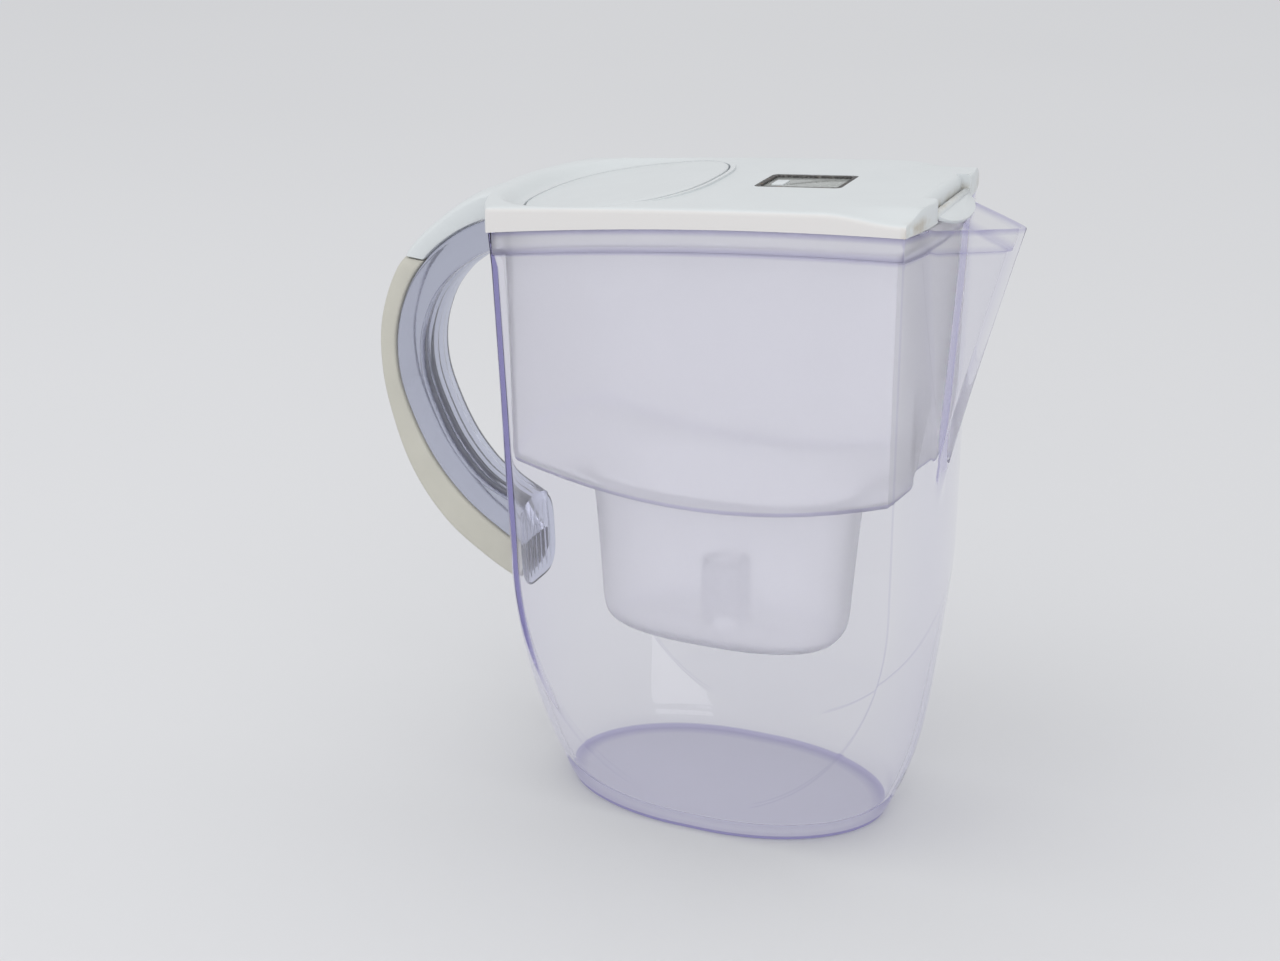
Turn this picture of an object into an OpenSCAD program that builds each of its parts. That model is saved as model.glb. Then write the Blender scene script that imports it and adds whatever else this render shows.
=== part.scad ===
// Filter pitcher: clear jug, lift-out hopper, arched lid with a fill flap and a pour flap.
// +X points to the spout, +Z up. The origin is the centre of the foot, on the table.

/* [Jug] */
// Height of the rim arch at its crest
rim_h = 260.6; // [255:0.2:266]
// Width across the flat side panels
jug_w = 100; // [97:0.5:104]
// How far the rear wall reaches behind the origin at the rim
rear_reach = 97; // [95:0.5:100]
// How far the front wall reaches ahead of the origin at the rim
front_reach = 88; // [86:0.5:90]
// Length of the oval foot
foot_l = 141; // [130:1:146]
// Width of the oval foot
foot_w = 89; // [80:1:92]
// How far the spout's tip reaches ahead of the origin
spout_reach = 115; // [110:1:120]
// Width of the spout where it leaves the front wall
spout_w = 56; // [50:1:60]
// Height at which the spout's ridge leaves the front wall
spout_start_z = 144; // [130:2:160]
// Thickness of the jug's wall
wall = 3; // [2.4:0.1:3.4]
// Thickness of the jug's floor
floor_t = 4.5; // [3.5:0.5:6]
// Depth below the rim of the ledge that carries the hopper
rim_band = 9.5; // [8:0.5:11]
// Thickness of the jug's wall above the ledge
rim_wall = 1.6; // [1.2:0.1:1.8]

/* [Handle] */
// How far the line between the strip and the core stands out behind the jug's rear wall
handle_reach = 51; // [48:0.5:54]
// Width of the handle
handle_w = 26; // [22:1:28]
// Thickness of the core between the strip and the fingers
core_t = 11; // [9:0.5:13]
// Thickness of the outer strip at its edges
strip_t = 5.7; // [4.5:0.1:7]
// Thickness of the strip's edges at its foot
strip_foot_t = 13; // [9:0.5:14]
// How far the middle of the strip stands out beyond its edges
strip_crown = 4; // [2:0.5:5]
// Height of the pad that joins the core to the jug's rear wall
pad_h = 38; // [34:1:42]
// Width of that pad
pad_w = 32; // [28:1:36]

/* [Hopper] */
// Thickness of the hopper's wall
hopper_wall = 2; // [1.6:0.1:2.4]
// Gap between the hopper's side wall and the jug's wall
hopper_gap = 1; // [0.8:0.1:1.4]
// Height of the lowest point of the hopper's floor
hopper_floor_z = 140.5; // [137:0.5:145]
// Length of the cartridge well under its mouth
well_l = 111; // [106:1:113]
// Width of the cartridge well under its mouth
well_w = 64; // [60:1:66]
// Height of the underside of the well
well_floor_z = 74; // [68:1:80]
// Diameter of the outlet post in the well
post_d = 20; // [18:0.5:24]
// Height of the top of the outlet post
post_top_z = 104; // [98:1:112]
// Diameter of the bore that takes a cartridge's outlet
seat_bore_d = 12; // [10:0.5:14]
// Diameter of each drain hole
drain_d = 4; // [3:0.5:5]

/* [Lid] */
// How far the front of the lid stands above the crest of the rim arch
lid_rise = 8.2; // [7.6:0.1:9]
// How far the middle of the lid stands above its long edges
lid_crown = 1; // [0.6:0.1:2]
// Thickness of the lid's top
lid_wall = 2; // [1.6:0.1:2.4]
// How far the lid's skirt stands out beyond the jug
lid_proud = 0.5; // [0.3:0.1:1]
// Depth of the handle tail where it leaves the lid
tail_root_t = 11; // [10:0.5:13]

/* [Fill flap] */
// Length of the oval fill flap
flap_l = 74; // [70:1:76]
// Width of the oval fill flap
flap_w = 88; // [84:1:89]
// Thickness of the fill flap
flap_t = 2; // [1.6:0.1:2.4]
// Gap round the fill flap
flap_gap = 0.8; // [0.6:0.1:1]
// Diameter of the flap's pivot pins
flap_pin_d = 3; // [2.5:0.1:3.4]
// Distance of the flap's pivot behind the flap's centre
flap_pivot_back = 7; // [5:0.5:7.5]

/* [Pour flap] */
// Width of the pour flap
pour_w = 44; // [40:1:47]
// How far the pour flap reaches ahead of its pivot
pour_reach = 7.5; // [6:0.5:9]
// Thickness of the pour flap
pour_t = 1.6; // [1.2:0.1:2]
// Diameter of the pour flap's pivot pins
pour_pin_d = 2.2; // [2:0.1:2.4]

/* [Filter indicator] */
// Length of the indicator's frame
frame_l = 35; // [34:0.5:40]
// Width of the indicator's frame
frame_w = 24; // [22:0.5:28]
// Distance of the indicator's centre ahead of the origin
frame_x = 28.5; // [26:0.5:32]
// Width of the frame's rim
frame_rim = 2.5; // [2:0.1:3]
// Depth of the indicator's housing
housing_h = 10.6; // [10.2:0.2:13]
// Length of the reset button
button_l = 5; // [4:0.5:6]
// Width of the reset button
button_w = 8; // [6:0.5:10]
// Travel of the reset button
button_travel = 0.5; // [0.3:0.1:0.6]
// Diameter of the coin cell
cell_d = 16; // [12:1:16]
// Thickness of the coin cell
cell_t = 2; // [1.2:0.2:2.4]

/* [Fits] */
// Gap between curved faces of separate pieces
seam = 0.3; // [0.3:0.05:0.4]
// Radial clearance of a pivot pin in its hole
pin_gap = 0.05; // [0.03:0.01:0.08]
// Gap beside the flat pieces in the indicator
slip = 0.15; // [0.1:0.05:0.2]

/* [Hidden] */

// Steps of the outline: rear arc, side panel, front arc, spout side
n_rear = 6;
n_side = 6;
n_front = 3;
n_tip = 4;

// The rim and the lid are shallow arches along X
rim_arch_r = 1500;
rim_crest_x = 125;
lid_arch_r = 3850;
lid_crest_x = 281;

// The body rounds up from the foot over about this height
curve_h = 36;
panel_z = 12;
panel_rise = 100;
panel_draft = 2.5;
swell_pow = 2.1;
front_corner = front_reach - 5.4;
rear_corner = rear_reach - 13;
rear_corner_flare = 7;
belly_rear = rear_reach - 10.5;
belly_front = front_reach - 1;
corner_min = 8;
foot_t = 1.5;
foot_round = 0.8;
spout_top_z = rim_h - 4.6;
spout_dip = 1.9;
spout_fall = 0.09;
tip_round = 2.5;
ridge_bow = 1.15;

function lerp(a, b, t) = a + (b - a) * t;
function unit(t) = min(1, max(0, t));
function smooth(t) = let(c = unit(t)) c * c * (3 - 2 * c);
function mean(ring) = [for (k = [0:2]) [for (p = ring) p[k]] * [for (p = ring) 1] / len(ring)];

// Heights of the rim, and of the jug's own edge, which dips at the spout
function rim_z(x) = rim_h - pow(rim_crest_x - x, 2) / (2 * rim_arch_r);
function edge_z(x) = rim_z(x) - spout_dip * unit((x - front_corner) / (front_reach - 1 - front_corner))
  - spout_fall * max(0, x - front_reach + 1);

// Profiles of the body against height
function bulge(z) = 1 - 2 / (exp(2 * z / curve_h) + 1);
function rear_at(z) = lerp(foot_l / 2, belly_rear, bulge(z)) + (rear_reach - belly_rear) * z / rim_h;
function front_at(z) = lerp(foot_l / 2, belly_front, bulge(z)) + (front_reach - belly_front) * z / rim_h;
function half_w_at(z) = z < panel_z
  ? lerp(foot_w / 2, jug_w / 2 - panel_draft, sin(90 * z / panel_z))
  : jug_w / 2 - panel_draft * (1 - (z - panel_z) / (rim_h - panel_z));
function swell(z) = let(t = unit((z - panel_z) / panel_rise)) sqrt(1 - pow(1 - t, swell_pow));
function rear_corner_at(z) = max(corner_min, (rear_corner - rear_corner_flare) * swell(z)
  + rear_corner_flare * unit((z - panel_z - panel_rise) / (rim_h - panel_z - panel_rise)));
function front_corner_at(z) = max(corner_min, front_corner * swell(z));
function turn_at(z) = z < panel_z ? 88 : 57 + 31 * exp(-(z - panel_z) / 13) - 12 * z / rim_h;
function spout_part(z) = max(0, (z - spout_start_z) / (spout_top_z - spout_start_z));
function tip_at(z) = lerp(front_at(z), spout_reach, pow(spout_part(z), ridge_bow));
function root_at(z) = max(6, spout_w / 2 * spout_part(z));

// An end arc runs from the middle of the end to the corner, where it meets the side panel
function arc_x(y, reach, corner, half, turn) = let(a = asin(min(1, y / half * sin(turn))))
  reach - (reach - corner) * (1 - cos(a)) / (1 - cos(turn));
function past(y, round) = sqrt(y * y + round * round) - round;
function ridge_x(y, tip, root_x, root, round) = tip - (tip - root_x) * past(y, round) / past(root, round);

// Half outline from the middle of the rear to the middle of the front.
// o = [rear, rear corner, half width, turn, front, front corner, tip, half width of the tip's root]
function half_outline(o) = let(
    y_at = function(a) o[2] * sin(a) / sin(o[3]),
    front_x = function(y) arc_x(y, o[4], o[5], o[2], o[3]),
    root_turn = asin(o[7] / o[2] * sin(o[3])),
    tip_x = function(y) ridge_x(y, o[6], front_x(o[7]), o[7], tip_round))
  concat(
    [for (i = [0:n_rear - 1]) let(y = y_at(o[3] * i / n_rear)) [-arc_x(y, o[0], o[1], o[2], o[3]), y]],
    [for (i = [0:n_side - 1]) [lerp(-o[1], o[5], i / n_side), o[2]]],
    [for (i = [0:n_front - 1]) let(y = y_at(lerp(o[3], root_turn, i / n_front))) [front_x(y), y]],
    [for (i = [0:n_tip]) let(y = o[7] * (1 - i / n_tip)) [max(front_x(y), tip_x(y)), y]]);
function whole(half) = concat(half, [for (i = [len(half) - 2:-1:1]) [half[i][0], -half[i][1]]]);
function outline(o) = whole(half_outline(o));

// Sizes of the jug's outline at a height, brought in by d
function jug_o(z, d = 0) = [rear_at(z) - d, rear_corner_at(z) - 0.35 * d, half_w_at(z) - d, turn_at(z),
  front_at(z) - d, front_corner_at(z) - 0.2 * d, tip_at(z) - 1.41 * d, root_at(z) - min(2, 0.41 * d)];
function no_spout(o) = [o[0], o[1], o[2], o[3], o[4], o[5], o[4], o[7]];
function at_z(pts, z) = [for (p = pts) [p[0], p[1], z]];
function under_edge(pts, drop) = [for (p = pts) [p[0], p[1], edge_z(p[0]) - drop]];

// A closed skin over rings of equal point count, with a fan of faces at each end
module skin(rings) {
  n = len(rings[0]);
  m = len(rings);
  polyhedron(
    concat([for (ring = rings) each ring], [mean(rings[0]), mean(rings[m - 1])]),
    concat(
      [for (j = [0:m - 2], i = [0:n - 1]) [j * n + i, j * n + (i + 1) % n, (j + 1) * n + (i + 1) % n]],
      [for (j = [0:m - 2], i = [0:n - 1]) [j * n + i, (j + 1) * n + (i + 1) % n, (j + 1) * n + i]],
      [for (i = [0:n - 1]) [m * n, (i + 1) % n, i]],
      [for (i = [0:n - 1]) [m * n + 1, (m - 1) * n + i, (m - 1) * n + (i + 1) % n]]));
}

// Jug: outer rings from the foot up, then inner rings down to the floor. The ledge's spout is as narrow
// as the outside is at the ledge's height
rim_o_z = spout_top_z;
function ledge_o(d) = let(o = jug_o(rim_o_z, d), low = jug_o(rim_o_z - rim_band, d))
  [o[0], o[1], o[2], o[3], o[4], o[5], low[6], low[7]];
wall_z = concat([for (k = [1, 1.5, 2.2, 3, 4.2, 6, 8.7]) k * panel_z],
  [for (t = [0, 0.34, 0.7]) lerp(spout_start_z, rim_o_z, t)]);
outer_z = concat([panel_z / 4, panel_z / 2], wall_z);
inner_z = [for (i = [len(wall_z) - 1:-1:0]) wall_z[i]];
module jug() {
  color([0.80, 0.79, 0.88, 0.35]) union() {
    linear_extrude(height = foot_t) polygon(outline(jug_o(foot_t, foot_round)));
    skin(concat(
      [at_z(outline(jug_o(foot_t, foot_round)), foot_t)],
      [for (z = outer_z) at_z(outline(jug_o(z)), z)],
      [under_edge(outline(jug_o(rim_o_z)), 0)],
      [under_edge(outline(jug_o(rim_o_z, rim_wall)), 0)],
      [under_edge(outline(ledge_o(rim_wall)), rim_band)],
      [under_edge(outline(ledge_o(wall)), rim_band)],
      [for (z = inner_z) at_z(outline(jug_o(z, wall)), z)],
      [at_z(outline(jug_o(panel_z - 3, wall + 0.6)), floor_t + 3)],
      [at_z(outline(jug_o(panel_z - 6, wall + 1.6)), floor_t + 1)],
      [at_z(outline(jug_o(panel_z - 6, wall + 4)), floor_t)]));
  }
}

// The jug's outside without its spout, moved out by a gap, to cut what stands against the rear wall
module body_block(gap)
  skin([for (z = concat([foot_t], outer_z, [rim_h])) at_z(outline(no_spout(jug_o(z, -gap))), z)]);

// Hopper: a flange on the jug's ledge, a deep tray and an oval well for the cartridge
hopper_rear_gap = 6;
hopper_corner = rear_corner - 7;
hopper_turn = 65;
scoop_w = 50;
scoop_top_z = rim_h - 55.6;
scoop_foot = 12;
scoop_in = 6;
floor_arch_r = 255;
floor_low_x = -4;
tray_foot = 8;
flange_d = rim_wall + seam;
function floor_at(x) = hopper_floor_z + pow(x - floor_low_x, 2) / (2 * floor_arch_r);
function flange_o(d) = no_spout(jug_o(rim_o_z, d));
function scoop_at(z) = scoop_in * smooth((scoop_top_z - z) / (scoop_top_z - hopper_floor_z - scoop_foot));
function tray_o(z, d) = let(g = wall + hopper_gap + d)
  [rear_at(z) - hopper_rear_gap - d, hopper_corner - 0.4 * d, half_w_at(z) - g, hopper_turn,
  front_reach - g, front_corner - 3 - 0.4 * d, front_reach - g, scoop_w / 2];
function scooped(pts, z) = [for (p = pts) [p[0] > 0
  ? p[0] - scoop_at(z) * pow(1 - unit(abs(p[1]) / (scoop_w / 2)), 0.7) : p[0], p[1]]];
function tray_ring(z, d) = at_z(scooped(outline(tray_o(z, d)), z), z);
function tray_floor_ring(d, up) = let(z0 = hopper_floor_z + tray_foot)
  [for (p = scooped(outline(tray_o(z0, d)), z0)) [p[0], p[1], floor_at(p[0]) + up]];
function oval_ring(a, b, z) = [for (p = outline(tray_o(spout_start_z, 0)))
  let(t = atan2(2 * p[1] / jug_w, (p[0] - well_x) / front_reach), e = 2 / well_pow)
  [well_x + a * signed_pow(cos(t), e), b * signed_pow(sin(t), e), z]];
well_x = -2;
well_pow = 2.5;
well_a = well_l / 2;
well_b = well_w / 2;
mouth_out = 4;
tray_top_z = rim_h - 12;
tray_z = [for (t = [0.25, 0.46, 0.64, 0.78]) lerp(hopper_floor_z, tray_top_z, t)];
module hopper() {
  t = hopper_wall;
  top = seam;
  under = rim_band - seam;
  mouth_z = hopper_floor_z + 2.5;
  low = well_floor_z;
  waist_z = lerp(low, mouth_z, 0.33);
  neck_z = lerp(low, mouth_z, 0.72);
  color([0.78, 0.78, 0.83, 0.6]) difference() {
    union() {
      skin(concat(
        [oval_ring(well_a - 10.5, well_b - 9, low), oval_ring(well_a - 5.5, well_b - 4, low + 2)],
        [oval_ring(well_a - 3, well_b - 1.5, low + 7)],
        [oval_ring(well_a - 2, well_b - 1, waist_z), oval_ring(well_a, well_b, neck_z)],
        [oval_ring(well_a + 1.5, well_b + 2, mouth_z - 5)],
        [oval_ring(well_a + mouth_out, well_b + 6, mouth_z)],
        [tray_floor_ring(3, 0), tray_floor_ring(0.9, 0.9), tray_floor_ring(0, 3)],
        [for (z = tray_z) tray_ring(z, 0)],
        [under_edge(outline(tray_o(tray_top_z, 0)), under)],
        [under_edge(outline(flange_o(flange_d)), under)],
        [under_edge(outline(flange_o(flange_d)), top)],
        [under_edge(outline(flange_o(flange_d + t)), top)],
        [under_edge(outline(flange_o(flange_d + t)), under - t)],
        [under_edge(outline(tray_o(tray_top_z, t)), under - t)],
        [for (i = [len(tray_z) - 1:-1:0]) tray_ring(tray_z[i], t)],
        [tray_floor_ring(t, 5), tray_floor_ring(t + 0.9, 3), tray_floor_ring(t + 3, 2.2)],
        [oval_ring(well_a + mouth_out - 1, well_b + 5, mouth_z + t)],
        [oval_ring(well_a + 1.5 - t, well_b + 2 - t, mouth_z - 4)],
        [oval_ring(well_a - t, well_b - t, neck_z)],
        [oval_ring(well_a - 2 - t, well_b - 1 - t, waist_z)],
        [oval_ring(well_a - 3 - t, well_b - 1.5 - t, low + 8)],
        [oval_ring(well_a - 6 - t, well_b - 4.5 - t, low + 3.4)],
        [oval_ring(well_a - 11 - t, well_b - 9.5 - t, low + t)]));
      translate([well_x, 0, low + t / 2]) cylinder(d = post_d, h = post_top_z - low - t / 2, $fn = 64);
    }
    translate([well_x, 0, low - 1]) cylinder(d = seat_bore_d, h = post_top_z - low + 2, $fn = 64);
    for (side = [-1, 1], k = [0:2]) let(drain_x = well_x + side * (post_d / 2 + 5 + 6 * k))
      translate([drain_x, 0, low - 1]) cylinder(d = drain_d, h = t + 2, $fn = 32);
  }
}

// The handle follows the line where the strip meets the core, from the rim down to the pad. Each point
// of its shape is a share of the handle's reach and a share of the height from the pad to the rim
handle_shape = [[-0.196, 0.9919], [0, 0.9878], [0.196, 0.9699], [0.443, 0.923], [0.6863, 0.8514],
  [0.8824, 0.7543], [1, 0.6234], [0.9961, 0.4891], [0.8784, 0.361], [0.6824, 0.2342], [0.4, 0.124],
  [0.0784, 0.0441], [-0.1765, -0.0041], [-0.451, -0.0455]];
pad_z = 99;
handle_line = [for (p = handle_shape)
  [-rear_reach - p[0] * handle_reach, lerp(pad_z, rim_z(-rear_reach), p[1])]];
tail_end = 4.1;
joint_gap = 0.07;
joint_lean = 0.04;
strip_end = 12;
function catmull(p, q, r, s, t) = 0.5 * (2 * q + (r - p) * t + (2 * p - 5 * q + 4 * r - s) * t * t
  + (3 * q - p - 3 * r + s) * t * t * t);
function on_line(u) = let(k = min(len(handle_line) - 3, max(1, floor(u))), h = handle_line)
  catmull(h[k - 1], h[k], h[k + 1], h[k + 2], u - k);
function line_out(u) = let(d = on_line(u + 0.01) - on_line(u - 0.01)) [d[1], -d[0]] / norm(d);
function on_side(u, out, y, lean = 0) = let(p = on_line(u + lean * out) + out * line_out(u))
  [p[0], y, p[1]];

// Where the outside of the rear wall lies at a height and a distance from the middle plane
function rear_x(y, z) = -arc_x(abs(y), rear_at(z), rear_corner_at(z), half_w_at(z), turn_at(z));

// A section of the handle between two distances out of its line, with a crowned far face.
// A lean slants the section along the handle
function band(u, near, far, crown, w, corner, lean = 0) = let(
    h = w / 2,
    chamfer = sign(far - near) * corner / 2,
    at = function(out, y) on_side(u, out, y, lean),
    ring = concat(
      [at(near, -h + corner / 2), at(near, h - corner / 2), at(near + chamfer, h)],
      [for (i = [0:8]) let(a = 180 * i / 8) at(far + crown * pow(sin(a), 0.8), 0.98 * h * cos(a))],
      [at(near + chamfer, -h)]))
  far > near ? ring : [for (i = [len(ring) - 1:-1:0]) ring[i]];
core_start = 1.1;
core_end = 12;
module handle_core() {
  color([0.60, 0.62, 0.74, 0.75]) difference() {
    union() {
      skin([for (i = [0:24]) let(
          u = lerp(core_start, core_end, i / 24),
          grow = smooth((u - 9.6) / 1.6))
        band(u, 0, -core_t - 3 * grow, -2.5, handle_w - 1, 3)]);
      handle_pad();
    }
    body_block(wall_gap);
  }
}
wall_gap = 0.2;
pad_proud = 2.2;
module handle_pad() {
  function pad_ring(d, out) = [for (i = [0:23]) let(
      a = 15 * i,
      y = (pad_w / 2 - d) * signed_pow(cos(a), 0.6),
      z = pad_z + (pad_h / 2 - d) * signed_pow(sin(a), 0.6))
    [rear_x(y, z) - out, y, z]];
  skin([pad_ring(0, -1.5), pad_ring(0, pad_proud - 1), pad_ring(1, pad_proud)]);
}

module handle_strip() {
  color([0.79, 0.79, 0.73]) difference() {
    skin([for (i = [0:22]) let(
        u = lerp(tail_end + joint_gap, strip_end, i / 22),
        thick = strip_t + (strip_foot_t - strip_t) * smooth((u - 6.5) / 4),
        ends = i == 0 ? 0.93 : 1)
      band(u, seam, seam + thick * ends, strip_crown * ends, handle_w * ends, 2,
        joint_lean * max(0, 1 - i / 6))]);
    body_block(wall_gap + pad_proud + seam);
  }
}

// Fill flap and the lid's dish round it share one tilted plane
flap_x = -46.5;
flap_z = rim_h - 2.3;
flap_tilt = 9.6;
flap_pow = 2.5;
flap_a = flap_l / 2 / cos(flap_tilt);
flap_b = flap_w / 2;
pivot_z = -3.8;
pivot_x = -flap_pivot_back / cos(flap_tilt);
ear_r = 2.7;
ear_l = 5;
ear_sweep = 4.6;
collar_t = 2;
collar_h = 7.6;
collar_half = jug_w / 2 - flange_d - hopper_wall - 2 * seam;
pin_bite = 1.5;
function signed_pow(v, e) = sign(v) * pow(abs(v), e);
function flap_outline(grow) = [for (i = [0:59]) let(t = 6 * i)
  [(flap_a + grow) * signed_pow(cos(t), 2 / flap_pow), (flap_b + grow) * signed_pow(sin(t), 2 / flap_pow)]];
function flap_plane(x) = flap_z + (x - flap_x) * tan(flap_tilt);
function flap_reach(x) = (flap_b + flap_gap)
  * pow(1 - pow(unit(abs(x) / (flap_a + flap_gap)), flap_pow), 1 / flap_pow);
module in_flap_plane() translate([flap_x, 0, flap_z]) rotate([0, -flap_tilt, 0]) children();
module across(y, l) translate([0, y, 0]) rotate([-90, 0, 0]) translate([0, 0, -l / 2]) children();

module fill_flap() {
  wall_y = flap_reach(pivot_x);
  ear_y = flap_reach(pivot_x - ear_sweep) - seam - ear_l;
  pin_l = wall_y + pin_bite - ear_y - 1;
  color([0.84, 0.87, 0.88]) in_flap_plane() {
    translate([0, 0, -flap_t]) linear_extrude(height = flap_t) polygon(flap_outline(0));
    for (side = [0, 1]) mirror([0, side, 0]) translate([pivot_x, 0, pivot_z]) {
      across(ear_y + ear_l / 2, ear_l) cylinder(r = ear_r, h = ear_l, $fn = 48);
      translate([-ear_r, ear_y, 0]) cube([2 * ear_r, ear_l, -pivot_z - flap_t / 2]);
      across(ear_y + 1 + pin_l / 2, pin_l) cylinder(d = flap_pin_d, h = pin_l, $fn = 48);
    }
  }
}

// Lid: an arched block with a dish, hollowed from below. Its front corners fall a little
corner_fall = 3.5;
corner_fall_x = 52;
lid_turn = 45;
lid_o = [rear_reach + 1, rear_corner + lid_proud, jug_w / 2 + lid_proud, lid_turn, front_reach + 0.5,
  front_corner + lid_proud, front_reach + 0.5, spout_w / 2];
lid_side_half = [1, 0.986, 0.968, 0.945, 0.915, 0.88, 0.8, 0.62, 0.42, 0.2];
lid_side = concat(-lid_side_half, [0], [for (i = [len(lid_side_half) - 1:-1:0]) lid_side_half[i]]);
function base_z(x, y) = rim_h + lid_rise + lid_crown * (1 - pow(2 * y / jug_w, 2))
  - (pow(lid_crest_x - x, 2) - pow(lid_crest_x - front_reach, 2)) / (2 * lid_arch_r)
  - corner_fall * smooth((x - corner_fall_x) / 30) * smooth((2 * abs(y) / jug_w - 0.72) / 0.28);
function off_flap(x, y) =
  pow(pow(abs(x - flap_x) / (flap_l / 2), flap_pow) + pow(abs(y) / flap_b, flap_pow), 1 / flap_pow);
function dish(x, y) = smooth((off_flap(x, y) - 1.045) / (0.08 + 0.22 * pow(unit(abs(x - flap_x) / 50), 2)));
function lid_z(x, y) = let(b = base_z(x, y)) lerp(min(b, flap_plane(x)), b, dish(x, y));
function edge_round(v) = abs(v) > 0.99 ? 2.2 : abs(v) > 0.98 ? 0.8 : abs(v) > 0.96 ? 0.2 : 0;
lid_half = [for (i = [0:len(half_outline(lid_o)) - 1 - n_tip + 1]) half_outline(lid_o)[i]];
lid_stations = concat([for (i = [1:n_rear - 1]) lid_half[i]],
  [for (i = [0:17]) [lerp(-lid_o[1], lid_o[5], i / 18), lid_o[2]]],
  [for (i = [0:n_front]) lid_half[n_rear + n_side + i]]);
function block_ring(s) = concat(
  [[s[0], -s[1], rim_z(s[0]) + seam]],
  [for (v = lid_side) [s[0], s[1] * v, lid_z(s[0], s[1] * v) - edge_round(v)]],
  [[s[0], s[1], rim_z(s[0]) + seam]]);
function hollow_ring(x, half) = concat(
  [[x, -half, rim_z(x) - 6]],
  [for (v = lid_side) [x, half * v, lid_z(x, half * v) - lid_wall - edge_round(v)]],
  [[x, half, rim_z(x) - 6]]);
hollow_front_x = front_reach - 10.5;
hollow_stations = concat(
  [for (s = lid_stations) if (s[0] > -rear_reach + 1.5 && s[0] < hollow_front_x - 1)
    [s[0], s[1] - lid_wall]],
  [[hollow_front_x, lid_o[2] - lid_wall]]);

// Notch at the front of the lid, and the pour flap's pivot in its ends
notch_w = pour_w + 1.4;
notch_x = front_reach - 4.3;
notch_top = rim_h + lid_rise;
notch_clear = 12;
pour_x = front_reach - 2.4;
pour_z = rim_h + 2;
pour_barrel_r = 1.6;
pour_drop = 4.4;

// The indicator lies in a tilted pocket of the lid
frame_tilt = asin((lid_crest_x - frame_x) / lid_arch_r);
frame_z = base_z(frame_x, 0) - 0.2;
pocket_t = 1.8;
pocket_l = frame_l + 2 * slip;
pocket_w = frame_w + 2 * slip;
module in_frame() translate([frame_x, 0, frame_z]) rotate([0, -frame_tilt, 0]) children();
module slab(l, w, z0, z1) translate([-l / 2, -w / 2, z0]) cube([l, w, z1 - z0]);

module lid_shell() {
  wall_y = flap_reach(pivot_x);
  color([0.88, 0.89, 0.89]) difference() {
    union() {
      difference() {
        union() {
          skin([for (s = lid_stations) block_ring(s)]);
          lid_tail();
        }
        skin([for (s = hollow_stations) hollow_ring(s[0], s[1])]);
      }
      in_flap_plane() translate([0, 0, -collar_h]) linear_extrude(height = collar_h - 0.4) intersection() {
        polygon(flap_outline(flap_gap + collar_t));
        square([2 * flap_l, 2 * collar_half], center = true);
      }
      in_frame() slab(pocket_l + 2 * pocket_t, pocket_w + 2 * pocket_t, -housing_h - 0.4, -1);
    }
    in_flap_plane() translate([0, 0, -collar_h - 1]) linear_extrude(height = collar_h + 12)
      polygon(flap_outline(flap_gap));
    in_flap_plane() translate([pivot_x, 0, pivot_z]) across(0, 2 * wall_y + 2 * collar_t + 4)
      cylinder(r = flap_pin_d / 2 + pin_gap, h = 2 * wall_y + 2 * collar_t + 4, $fn = 48);
    in_frame() slab(pocket_l, pocket_w, -housing_h - 1, 6);
    notch();
    translate([pour_x, 0, pour_z]) across(0, pour_w + 5.6)
      cylinder(r = pour_pin_d / 2 + pin_gap, h = pour_w + 5.6, $fn = 48);
  }
}
module notch() translate([0, notch_w / 2, 0]) rotate([90, 0, 0]) linear_extrude(height = notch_w)
  polygon([[notch_x, rim_h - notch_clear], [notch_x, notch_top - 2.8], [notch_x - 1, notch_top - 0.6],
    [notch_x - 3, notch_top + 0.6], [notch_x - 3, notch_top + notch_clear],
    [notch_x + notch_clear, notch_top + notch_clear], [notch_x + notch_clear, rim_h - notch_clear]]);

// The tail runs from the lid's rear over the top of the handle, clear of the jug's rim
tail_start = 0.85;
tail_steps = 14;
function above_rim(ring) = [for (p = ring)
  [p[0], p[1], p[0] > -rear_reach - 1.2 ? max(p[2], rim_z(p[0]) + seam) : p[2]]];
module lid_tail() skin([for (i = [0:tail_steps]) let(
    t = i / tail_steps,
    last = i == tail_steps ? 0.96 : 1)
  above_rim(band(lerp(tail_start, tail_end, t), 2 * seam,
    lerp(tail_root_t - 1.5, strip_t + seam, smooth(t * 1.2)) * last,
    lerp(2.6, strip_crown, t) * last, lerp(handle_w + 3, handle_w, t), 2, joint_lean * t))]);

module pour_flap() {
  reach = pour_reach;
  tongue = [for (i = [0:24]) let(a = -90 + 7.5 * i)
    [reach * pow(cos(a), 0.9), (pour_w / 2 - 1) * sin(a)]];
  color([0.86, 0.86, 0.84]) translate([pour_x, 0, pour_z]) {
    across(0, pour_w) cylinder(r = pour_barrel_r, h = pour_w, $fn = 48);
    across(0, pour_w + 4) cylinder(d = pour_pin_d, h = pour_w + 4, $fn = 48);
    rotate([0, atan(pour_drop / reach), 0]) translate([0, 0, -pour_t / 2])
      linear_extrude(height = pour_t) scale([norm([reach, pour_drop]) / reach, 1]) polygon(tongue);
  }
}

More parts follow.
